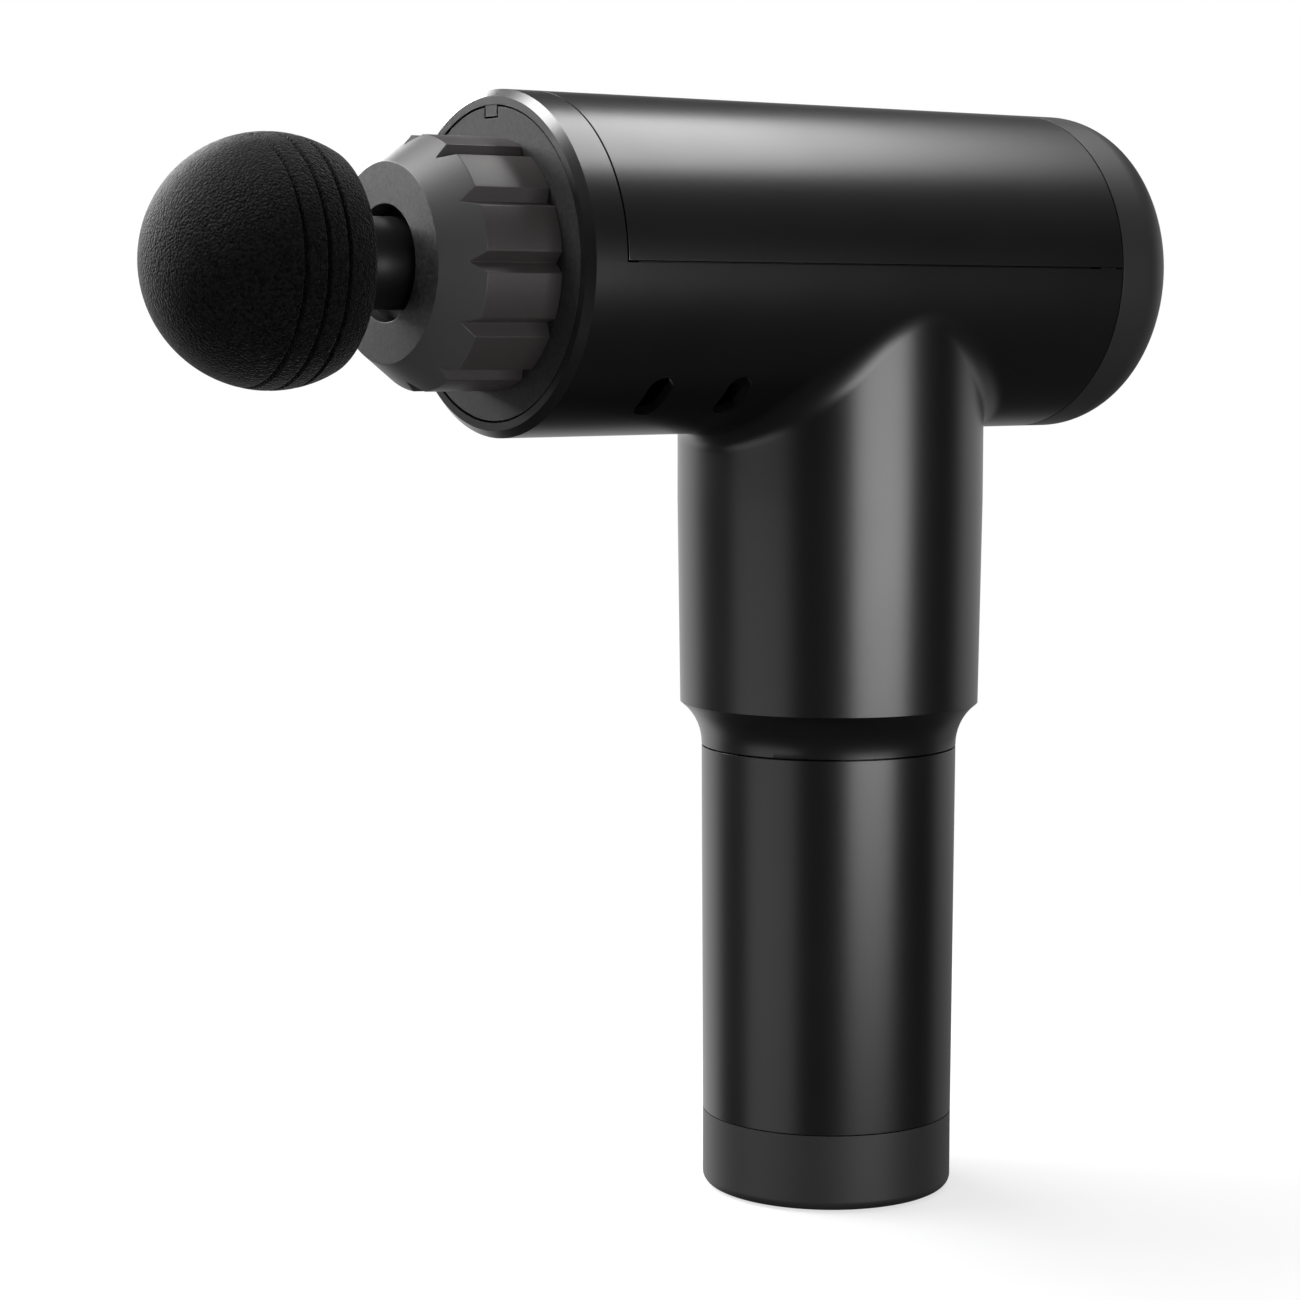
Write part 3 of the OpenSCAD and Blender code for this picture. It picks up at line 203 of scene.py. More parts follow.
def lathe(name: str, axis: Axis, outline: Sequence[Point], steps: int = 192) -> Piece:
    """Turns a closed outline into a solid.

    Args:
        name: the piece's name.
        axis: the line that it is turned round.
        outline: (place along the axis, radius) in mm, in order round the section.
        steps: number of steps of the full turn.
    Returns:
        A closed mesh with its normals outwards.
    """
    deselect_all()
    bpy.ops.mesh.primitive_circle_add(vertices=len(outline), radius=MM)
    piece = named_active(name)
    on_barrel = axis is Axis.BARREL
    for vertex, (along, radius) in zip(piece.data.vertices, outline):
        vertex.co = Vector((along, 0, AXIS_Z + radius) if on_barrel else (radius, 0, along)) * MM
    edit_all(piece)
    bpy.ops.mesh.spin(
        steps=steps, angle=math.tau, use_auto_merge=True, center=axis.centre, axis=axis.direction
    )
    bpy.ops.mesh.select_all(action="SELECT")
    bpy.ops.mesh.remove_doubles(threshold=TOUCH)
    bpy.ops.mesh.dissolve_degenerate(threshold=TOUCH)
    bpy.ops.mesh.select_all(action="SELECT")
    bpy.ops.mesh.normals_make_consistent(inside=False)
    close_edit()
    return piece


def arc(centre: Point, radius: float, start: float, end: float, steps: int) -> list[Point]:
    """Points of an arc in an outline.

    Args:
        centre: (along, radius) of the arc's centre.
        radius: the arc's radius in mm.
        start: first angle in degrees, from the along direction towards larger radius.
        end: last angle.
        steps: number of segments.
    Returns:
        steps + 1 points.
    """
    turns = [math.radians(start + (end - start) * i / steps) for i in range(steps + 1)]
    return [(centre[0] + radius * math.cos(t), centre[1] + radius * math.sin(t)) for t in turns]


def step_on(outline: list[Point], *values: float) -> list[Point]:
    """Goes on with an outline in square steps.

    Args:
        outline: the points so far, which it adds to.
        values: in turn a new place along the axis and a new radius.
    Returns:
        The same outline.
    """
    for i, value in enumerate(values):
        along, radius = outline[-1]
        outline.append((along, value) if i % 2 else (value, radius))
    return outline


def around(radius: float, degrees: Sequence[float]) -> list[Point]:
    """Points on a circle round (0, 0), at angles from its first direction."""
    turns = [math.radians(angle) for angle in degrees]
    return [(radius * math.cos(turn), radius * math.sin(turn)) for turn in turns]


def apply_modifier(piece: Piece, kind: str, **settings: object) -> None:
    """Adds a modifier, sets it and applies it.

    Args:
        piece: the object.
        kind: the modifier's type.
        settings: its properties.
    """
    take(piece)
    modifier = piece.modifiers.new(kind.lower(), kind)
    for key, value in settings.items():
        setattr(modifier, key, value)
    bpy.ops.object.modifier_apply(modifier=modifier.name)


def thicken(surface: Piece, wall: float) -> None:
    """Gives an open surface a wall in mm, inwards."""
    settings = {"thickness": wall * MM, "offset": -1.0, "use_even_offset": True, "use_rim": True}
    apply_modifier(surface, "SOLIDIFY", **settings)


def cut(piece: Piece, tools: Sequence[Piece], operation: Boolean = Boolean.REMOVE) -> None:
    """Cuts tools out of a piece, or joins them to it, and removes the tools.

    Args:
        piece: the object that is changed.
        tools: the closed objects to cut with.
        operation: remove the tools' volume or add it.
    """
    for tool in tools:
        apply_modifier(piece, "BOOLEAN", operation=operation.value, object=tool, solver="EXACT")
        bpy.data.objects.remove(tool)


def merge(pieces: Sequence[Piece]) -> Piece:
    """Joins objects into the first one, as separate islands of one mesh.

    Args:
        pieces: the objects.
    Returns:
        The first object.
    """
    take(pieces[0])
    for other in pieces[1:]:
        other.select_set(True)
    bpy.ops.object.join()
    return pieces[0]


def face_outwards(surface: Piece) -> None:
    """Turns an open surface's normals outwards, judged by the face that looks most to one side.

    Args:
        surface: the object.
    """
    edit_all(surface)
    bpy.ops.mesh.normals_make_consistent(inside=False)
    close_edit()
    side = max(surface.data.polygons, key=lambda face: abs(face.normal.y))
    if side.normal.y * side.center.y < 0:
        edit_all(surface)
        bpy.ops.mesh.flip_normals()
        close_edit()


def round_edges(piece: Piece, width: float = EDGE, angle: float = 35.0, segments: int = 2) -> Piece:
    """Rounds every edge that is sharper than an angle.

    Args:
        piece: the object.
        width: width of the rounding in mm.
        angle: smallest angle of a rounded edge, in degrees.
        segments: faces across the rounding.
    Returns:
        The object.
    """
    apply_modifier(
        piece,
        "BEVEL",
        width=width * MM,
        segments=segments,
        limit_method="ANGLE",
        angle_limit=math.radians(angle),
        use_clamp_overlap=True,
        miter_outer="MITER_ARC",
    )
    return piece


def smooth(piece: Piece, angle: float = 40.0, weighted: bool = True) -> Piece:
    """Shades a piece smooth up to an angle, with large faces kept true.

    Args:
        piece: the object.
        angle: the largest angle that is shaded smooth, in degrees.
        weighted: weigh normals by face area.
    Returns:
        The object.
    """
    take(piece)
    bpy.ops.object.shade_smooth_by_angle(angle=math.radians(angle))
    if weighted:
        apply_modifier(piece, "WEIGHTED_NORMAL", keep_sharp=True, weight=100)
    return piece


def bar(
    axis: Axis, along: Point, radius: float, off: Point = (0, 0), sides: int = 48, hollow: bool = False
) -> Piece:
    """A cylinder parallel to the barrel or the handle: a cutting tool, or the start of a tube.

    Args:
        axis: the line that it is parallel to.
        along: where it starts and ends.
        radius: its radius.
        off: how far it stands off that line: (y, z) for the barrel, (x, y) for the handle.
        sides: number of sides.
        hollow: leave both ends open.
    Returns:
        The cylinder.
    """
    middle = (along[0] + along[1]) / 2
    on_barrel = axis is Axis.BARREL
    spot = (middle, off[0], AXIS_Z + off[1]) if on_barrel else (*off, middle)
    deselect_all()
    bpy.ops.mesh.primitive_cylinder_add(
        vertices=sides,
        radius=radius * MM,
        depth=(along[1] - along[0]) * MM,
        end_fill_type="NOTHING" if hollow else "NGON",
        location=Vector(spot) * MM,
        rotation=(0, math.pi / 2 if on_barrel else 0, 0),
    )
    bpy.ops.object.transform_apply(location=True, rotation=True, scale=True)
    return named_active("tool")


def box_tool(low: Vec, high: Vec) -> Piece:
    """A box-shaped cutting tool.

    Args:
        low: its lowest corner in mm.
        high: its highest corner.
    Returns:
        The tool.
    """
    deselect_all()
    centre = (Vector(low) + Vector(high)) / 2
    bpy.ops.mesh.primitive_cube_add(size=1.0, location=centre * MM)
    bpy.context.object.scale = (Vector(high) - Vector(low)) * MM
    bpy.ops.object.transform_apply(location=True, rotation=True, scale=True)
    return named_active("tool")


def turn_about(piece: Piece, axis: Axis, degrees: float) -> None:
    """Turns a piece's mesh round the barrel's or the handle's line."""
    turn = Matrix.Rotation(math.radians(degrees), 4, axis.value)
    piece.data.transform(Matrix.Translation(axis.centre) @ turn @ Matrix.Translation(-axis.centre))


# ---------- finishes ----------


class Wiring:
    """Makes and links the nodes of one material, world or node group."""

    def __init__(self, tree: Tree) -> None:
        """Keeps the tree that nodes are added to."""
        self.tree = tree

    @classmethod
    def fresh(cls, owner: bpy.types.ID) -> "Wiring":
        """Turns on the nodes of a material or world, and clears them.

        Args:
            owner: the material or world.
        Returns:
            The wiring of its tree.
        """
        owner.use_nodes = True
        owner.node_tree.nodes.clear()
        return cls(owner.node_tree)

    def add(
        self, kind: str, *values: object, settings: dict[str, object] | None = None, **inputs: object
    ) -> bpy.types.Node:
        """Adds a node, sets its properties and feeds its inputs.

        Args:
            kind: the node's type, without ShaderNode.
            values: values or output sockets for its first inputs, None to leave one as it is.
            settings: its properties.
            inputs: input names, with underscores for spaces, to values or output sockets.
        Returns:
            The node.
        """
        node = self.tree.nodes.new("ShaderNode" + kind)
        for key, value in (settings or {}).items():
            setattr(node, key, value)
        feeds = {i: value for i, value in enumerate(values) if value is not None}
        feeds |= {key.replace("_", " "): value for key, value in inputs.items()}
        for key, value in feeds.items():
            if isinstance(value, Socket):
                self.tree.links.new(value, node.inputs[key])
            else:
                node.inputs[key].default_value = value
        return node

    def effect(self, effect: "Effect", **inputs: object) -> bpy.types.NodeOutputs:
        """The outputs of a shared group, placed with its own values."""
        return self.add("Group", settings={"node_tree": effect_group(effect)}, **inputs).outputs

    def calc(self, operation: str, *values: object) -> Socket:
        """The result of a Math node on values or sockets."""
        return self.add("Math", *values, settings={"operation": operation}).outputs[0]

    def scaled(self, colour: object, gain: Socket) -> Socket:
        """A colour times a number."""
        return self.add("VectorMath", colour, settings={"operation": "SCALE"}, Scale=gain).outputs[0]

    def dot(self, vector: Socket, direction: Vec) -> Socket:
        """The dot product of two vectors."""
        node = self.add("VectorMath", vector, direction, settings={"operation": "DOT_PRODUCT"})
        return node.outputs["Value"]

    def noise(self, where: Socket, scale: object, detail: float, roughness: float) -> Socket:
        """A noise texture's factor."""
        node = self.add("TexNoise", Vector=where, Scale=scale, Detail=detail, Roughness=roughness)
        return node.outputs["Fac"]

    def mix(self, factor: Socket, low: object, high: object, kind: Blend = Blend.COLOURS) -> Socket:
        """Mixes two colours or two numbers.

        Args:
            factor: 0 gives the first, 1 the second.
            low: the first, a value or a socket.
            high: the second.
            kind: what they are.
        Returns:
            The mixed colour or number.
        """
        skipped, output = (5, 2) if kind is Blend.COLOURS else (1, 0)
        values = (factor, *[None] * skipped, low, high)
        return self.add("Mix", *values, settings={"data_type": kind.value}).outputs[output]

    def ramp(self, factor: Socket, limits: Ramp) -> Socket:
        """Maps a factor from one range to another, clamped.

        Args:
            factor: the input.
            limits: the input's low and high value, and the result at each.
        Returns:
            The result.
        """
        return self.add("MapRange", factor, *limits, settings={"clamp": True}).outputs["Result"]


class Effect(Enum):
    """The shared node groups."""

    TONE_DRIFT = "tone_drift"
    SPARK_GRAIN = "spark_grain"
    TURNED_LINES = "turned_lines"
    FOAM_CELLS = "foam_cells"


class Group(Wiring):
    """A shader node group with named inputs and outputs."""

    kinds: ClassVar[dict[str, str]] = {"Vector": "NodeSocketVector", "Colour": "NodeSocketColor"}

    def __init__(self, effect: Effect, outputs: Sequence[str], **inputs: object) -> None:
        """Makes the group with its sockets.

        Args:
            effect: the effect, which gives the group's name.
            outputs: names of its outputs.
            inputs: names and defaults of its inputs, besides Vector.
        """
        super().__init__(bpy.data.node_groups.new(effect.value, "ShaderNodeTree"))
        self.socket("Vector", "INPUT")
        for label, default in inputs.items():
            self.socket(label, "INPUT").default_value = default
        for label in outputs:
            self.socket(label, "OUTPUT")
        self.enter = self.tree.nodes.new("NodeGroupInput").outputs
        self.leave = self.tree.nodes.new("NodeGroupOutput").inputs

    def socket(self, label: str, side: str) -> bpy.types.NodeTreeInterfaceSocket:
        """Adds an input or an output, a number unless its name says otherwise."""
        kind = self.kinds.get(label, "NodeSocketFloat")
        return self.tree.interface.new_socket(name=label, in_out=side, socket_type=kind)

    def closed(self, **results: Socket) -> Tree:
        """Links results to the outputs of their names.

        Args:
            results: output names to sockets.
        Returns:
            The group's tree.
        """
        for label, result in results.items():
            self.tree.links.new(result, self.leave[label])
        return self.tree


def tone_drift() -> Tree:
    """Slow drift of colour and gloss over a surface, as handled plastic and metal have.

    Returns:
        The group: Vector, Colour, Drift, Roughness, Spread in; Colour, Roughness out.
    """
    defaults = {"Colour": (0.02, 0.02, 0.02, 1), "Drift": 0.1, "Roughness": 0.4, "Spread": 0.05}
    group = Group(Effect.TONE_DRIFT, ("Colour", "Roughness"), **defaults)
    enter = group.enter
    clouds = group.noise(enter["Vector"], scale=38.0, detail=3.0, roughness=0.55)
    wave = group.calc("SUBTRACT", clouds, 0.5)
    gain = group.calc("ADD", group.calc("MULTIPLY", wave, enter["Drift"]), 1.0)
    rough = group.calc("ADD", group.calc("MULTIPLY", wave, enter["Spread"]), enter["Roughness"])
    return group.closed(Colour=group.scaled(enter["Colour"], gain), Roughness=rough)


def spark_grain() -> Tree:
    """Fine pitted grain of a spark-eroded mould.

    Returns:
        The group: Vector, Scale in; Height, Speckle out.
    """
    group = Group(Effect.SPARK_GRAIN, ("Height", "Speckle"), Scale=2500.0)
    where, scale = group.enter["Vector"], group.enter["Scale"]
    cell_height = 0.4
    pits = group.noise(where, scale, detail=2.0, roughness=0.6)
    cells = group.add("TexVoronoi", Vector=where, Scale=scale)
    height = group.calc("MULTIPLY_ADD", cells.outputs["Distance"], cell_height, pits)
    return group.closed(Height=height, Speckle=group.ramp(pits, (0.35, 0.65, 0.0, 1.0)))


def turned_lines() -> Tree:
    """Fine tool lines of turned or rolled metal.

    Returns:
        The group: Vector, Scale in; Height, Lines out.
    """
    group = Group(Effect.TURNED_LINES, ("Height", "Lines"), Scale=900.0)
    squeeze = group.add("Mapping", Vector=group.enter["Vector"], Scale=(1.0, 0.04, 0.04))
    lines = group.noise(squeeze.outputs[0], group.enter["Scale"], detail=3.0, roughness=0.7)
    return group.closed(Height=lines, Lines=group.ramp(lines, (0.3, 0.7, 0.0, 1.0)))


def foam_cells() -> Tree:
    """Open grain of cut and buffed foam: small cells over a softer unevenness.

    Returns:
        The group: Vector, Scale in; Height, Pores out.
    """
    group = Group(Effect.FOAM_CELLS, ("Height", "Pores"), Scale=1100.0)
    where = group.enter["Vector"]
    cell_height, grain_height = -0.9, 0.35
    cells = group.add("TexVoronoi", Vector=where, Scale=group.enter["Scale"])
    grains = group.add("SeparateColor", cells.outputs["Color"]).outputs
    soft = group.noise(where, scale=1500.0, detail=3.0, roughness=0.6)
    dents = group.calc("MULTIPLY_ADD", cells.outputs["Distance"], cell_height, soft)
    height = group.calc("MULTIPLY_ADD", grains["Red"], grain_height, dents)
    return group.closed(Height=height, Pores=grains["Green"])


@cache
def effect_group(effect: Effect) -> Tree:
    """Gives an effect's shared group, and makes it the first time.

    Args:
        effect: the effect.
    Returns:
        Its node tree.
    """
    makers: dict[Effect, Callable[[], Tree]] = {
        Effect.TONE_DRIFT: tone_drift,
        Effect.SPARK_GRAIN: spark_grain,
        Effect.TURNED_LINES: turned_lines,
        Effect.FOAM_CELLS: foam_cells,
    }
    return makers[effect]()


@dataclass(frozen=True)
class Finish:
    """A surface with a slow drift of tone and one fine relief, whose depth is in mm."""

    name: str
    colour: Vec
    roughness: float
    specular: float = 0.5
    metallic: float = 0.0
    relief: Effect = Effect.SPARK_GRAIN
    scale: float = 2600.0
    depth: float = 0.01
    drift: float = 0.25
    spread: float = 0.06
    speckle: float = 0.0
    sheen: float = 0.0
    sheen_roughness: float = 0.3
    glow: float = 0.0

    def build(self) -> bpy.types.Material:
        """Makes the material.

        Returns:
            The material.
        """
        material = bpy.data.materials.new(self.name)
        wiring = Wiring.fresh(material)
        where = wiring.add("TexCoord").outputs["Object"]
        base = {"Colour": (*self.colour, 1.0), "Roughness": self.roughness}
        tone = wiring.effect(Effect.TONE_DRIFT, Vector=where, Drift=self.drift, Spread=self.spread, **base)
        relief = wiring.effect(self.relief, Vector=where, Scale=self.scale)
        bump = wiring.add("Bump", Height=relief["Height"], Strength=1.0, Distance=self.depth * MM)
        shader = wiring.add(
            "BsdfPrincipled",
            Base_Color=self.shade(wiring, tone["Colour"], relief[1]),
            Roughness=tone["Roughness"],
            Normal=bump.outputs["Normal"],
            Metallic=self.metallic,
            Specular_IOR_Level=self.specular,
            Sheen_Weight=self.sheen,
            Sheen_Roughness=self.sheen_roughness,
            Emission_Strength=self.glow,
        )
        if self.glow:
            shader.inputs["Emission Color"].default_value = (*self.colour, 1.0)
        wiring.add("OutputMaterial", shader.outputs[0])
        return material

    def shade(self, wiring: Wiring, colour: Socket, mask: Socket) -> Socket:
        """Lets the relief lighten the colour a little.

        Args:
            wiring: the material's wiring.
            colour: the drifting colour.
            mask: the relief's mask.
        Returns:
            The colour for the shader.
        """
        if not self.speckle:
            return colour
        return wiring.scaled(colour, wiring.ramp(mask, (0.0, 1.0, 1.0 - self.speckle, 1.0 + self.speckle)))


@dataclass(frozen=True)
class MetalFinish(Finish):
    """A bare, plated or anodised metal with fine tool lines."""

    metallic: float = 1.0
    relief: Effect = Effect.TURNED_LINES
    depth: float = 0.004


@dataclass(frozen=True)
class FoamFinish(Finish):
    """Buffed foam: dark pores and a soft sheen."""

    relief: Effect = Effect.FOAM_CELLS
    speckle: float = 0.8
    sheen: float = 0.13


@dataclass(frozen=True)
class NoseFinish(Finish):
    """A moulding with a grained face, a lighter cone and a darker, warmer fluted part.

    The mesh marks its faces in the attribute named by zone: 1 face, 0.5 cone, 0 flutes.
    """

    zone: ClassVar[str] = "nose_zone"
    face_colour: Vec = (0.019, 0.019, 0.019)
    flute_colour: Vec = (0.037, 0.032, 0.032)
    grain: Ramp = (0.0, 1.0, 0.3, 1.7)
    past_flutes: Ramp = (0.2, 0.3, 0.0, 1.0)
    past_cone: Ramp = (0.7, 0.8, 0.0, 1.0)

    def shade(self, wiring: Wiring, colour: Socket, mask: Socket) -> Socket:
        """Gives each zone its own colour.

        Args:
            wiring: the material's wiring.
            colour: the drifting colour of the cone.
            mask: the relief's mask.
        Returns:
            The colour for the shader.
        """
        zone = wiring.add("Attribute", settings={"attribute_name": self.zone}).outputs["Fac"]
        face = wiring.scaled(self.face_colour, wiring.ramp(mask, self.grain))
        rest = wiring.mix(wiring.ramp(zone, self.past_flutes), (*self.flute_colour, 1.0), colour)
        return wiring.mix(wiring.ramp(zone, self.past_cone), rest, face)


FINISHES: dict[str, Finish] = {
    "housing_black": Finish(
        "satin_black_shell", (0.003, 0.003, 0.0032), 0.31, specular=0.85, scale=2800, depth=0.004, spread=0.05
    ),
    "band_grey": Finish(
        "matt_grey_band", (0.021, 0.021, 0.0215), 0.46, specular=0.6, scale=2400, depth=0.008
    ),
    "nose_grey": NoseFinish(
        "nose_mouldings", (0.045, 0.045, 0.045), 0.45, specular=0.6, scale=1400, depth=0.012
    ),
    "plate_grey": Finish(
        "grained_grey_plate", (0.013, 0.013, 0.013), 0.6, specular=0.4, scale=1400, depth=0.03, speckle=0.35
    ),
    "panel_black": Finish(
        "gloss_black_panel", (0.004, 0.004, 0.0045), 0.12, specular=0.6, scale=300, depth=0.001, spread=0.03
    ),
    "light_guide": Finish("milky_light_guide", (0.62, 0.66, 0.7), 0.35, scale=1500, depth=0.004, drift=0.06),
    "button_black": Finish("soft_black_button", (0.012, 0.012, 0.013), 0.34, scale=2200, depth=0.006),
    "board_green": Finish(
        "green_solder_mask", (0.012, 0.09, 0.035), 0.35, scale=700, depth=0.02, drift=0.6, speckle=0.15
    ),
    "screw_steel": MetalFinish("zinc_steel_screws", (0.5, 0.5, 0.51), 0.32),
    # painted shade: this aluminium (guide and plunger) is given a near-black colour so that the gap round the
    # stem in the nose hole looks shaded; it is metal darkened to stand in for that shade
    "guide_alu": MetalFinish("aluminium_darkened_as_hole_shade", (0.075, 0.078, 0.08), 0.42, depth=0.005),
    "soft_black": Finish("black_rubber", (0.012, 0.012, 0.012), 0.7, scale=1800, depth=0.015),
    "bush_plastic": Finish("ivory_bush_plastic", (0.6, 0.56, 0.45), 0.5, scale=1800, depth=0.006, drift=0.08),
    "hard_steel": MetalFinish("nitrided_black_steel", (0.06, 0.06, 0.065), 0.4),
    "bronze": Finish("sintered_bronze", (0.5, 0.31, 0.12), 0.42, metallic=1.0, scale=1600),
    "motor_steel": MetalFinish("plated_motor_steel", (0.24, 0.24, 0.26), 0.35, depth=0.006),
    "copper": MetalFinish("enamelled_copper", (0.55, 0.22, 0.08), 0.35, scale=3200, depth=0.05),
    "contact_gold": MetalFinish("gold_plated_contacts", (0.8, 0.55, 0.2), 0.25, depth=0.003),
    "wire_red": Finish("red_silicone_leads", (0.35, 0.02, 0.015), 0.5, scale=1200, depth=0.006),
    "ribbon_grey": Finish(
        "grey_ribbon", (0.4, 0.4, 0.42), 0.5, relief=Effect.TURNED_LINES, scale=1500, depth=0.03
    ),
    "cell_sleeve": Finish("green_cell_sleeve", (0.03, 0.17, 0.1), 0.3, scale=500),
    "holder_white": Finish(
        "natural_holder_plastic", (0.62, 0.62, 0.57), 0.55, scale=1800, depth=0.006, drift=0.08
    ),
    "switch_black": Finish("black_switch_plastic", (0.01, 0.01, 0.01), 0.3, scale=2500, depth=0.004),
    "status_green": Finish("green_light_pipe", (0.1, 0.5, 0.2), 0.2, scale=900, depth=0.004, glow=0.4),
    "ball_foam": FoamFinish(
        "black_foam", (0.0036, 0.0036, 0.0037), 0.62, specular=0.07, scale=1900, depth=0.28, drift=0.5
    ),
    "stem_black": Finish("satin_black_stem", (0.006, 0.006, 0.006), 0.38, specular=0.6, depth=0.004),
}


class Palette:
    """The materials, one for each slot of the record, and the CAD nodes that new pieces stand for."""

    def __init__(self) -> None:
        """Builds every material and notes each CAD node's slot and body."""
        record = frame["record"]
        self.materials = {slot: finish.build() for slot, finish in FINISHES.items()}
        self.slots = {row["node"]: row["material_slot"] for row in record["subparts"]}
        self.bodies = {node: body for body, nodes in record["behaviour"]["bodies"].items() for node in nodes}
        self.dressed: set[str] = set()

    def dress(self, piece: Piece, node: str) -> None:
        """Gives a piece the finish of the CAD node that it stands for, and makes it ride.

        Args:
            piece: the new piece.
            node: the CAD node.
        """
        piece.data.materials.clear()
        piece.data.materials.append(self.materials[self.slots[node]])
        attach(piece, self.bodies[node])
        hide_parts(node)
        self.dressed.add(node)
        LOG.info("%s: %d faces, rides on %s", piece.name, len(piece.data.polygons), self.bodies[node])


# ---------- sub-assemblies ----------


@dataclass
class GripBlend:
    """The rolling-ball blend between grip and barrel, as angles round the grip."""

    grip_r: float = 31.0
    front_r: float = 4.0
    side_r: float = 12.0

    def radius(self, turn: float) -> float:
        """The ball's radius at an angle in radians."""
        return self.front_r + (self.side_r - self.front_r) * math.sin(turn) ** 2

    def centre(self, turn: float) -> Vector:
        """The ball's centre, with z measured from the barrel's axis.

        Args:
            turn: angle round the grip in radians.
        Returns:
            The centre in mm.
        """
        ball = self.radius(turn)
        reach = self.grip_r + ball
        drop = math.sqrt((BARREL_R + ball) ** 2 - (reach * math.sin(turn)) ** 2)
        return Vector((reach * math.cos(turn), reach * math.sin(turn), -drop))

    def on_grip(self, turn: float) -> Vector:
        """Where the ball touches the grip."""
        return Vector((self.grip_r * math.cos(turn), self.grip_r * math.sin(turn), self.centre(turn).z))

    def on_barrel(self, turn: float) -> Vector:
        """Where the ball touches the barrel.

        Args:
            turn: angle round the grip in radians.
        Returns:
            The point in mm.
        """
        centre = self.centre(turn)
        share = BARREL_R / (BARREL_R + self.radius(turn))
        return Vector((centre.x, centre.y * share, centre.z * share))

    def section(self, turn: float, steps: int) -> list[Vector]:
        """Points of the arc from the grip to the barrel.

        Args:
            turn: angle round the grip in radians.
            steps: number of segments.
        Returns:
            steps + 1 points.
        """
        centre = self.centre(turn)
        start, end = self.on_grip(turn) - centre, self.on_barrel(turn) - centre
        span = start.angle(end)
        weights = [(math.sin(span * (1 - i / steps)), math.sin(span * (i / steps))) for i in range(steps + 1)]
        return [centre + (start * near + end * far) / math.sin(span) for near, far in weights]


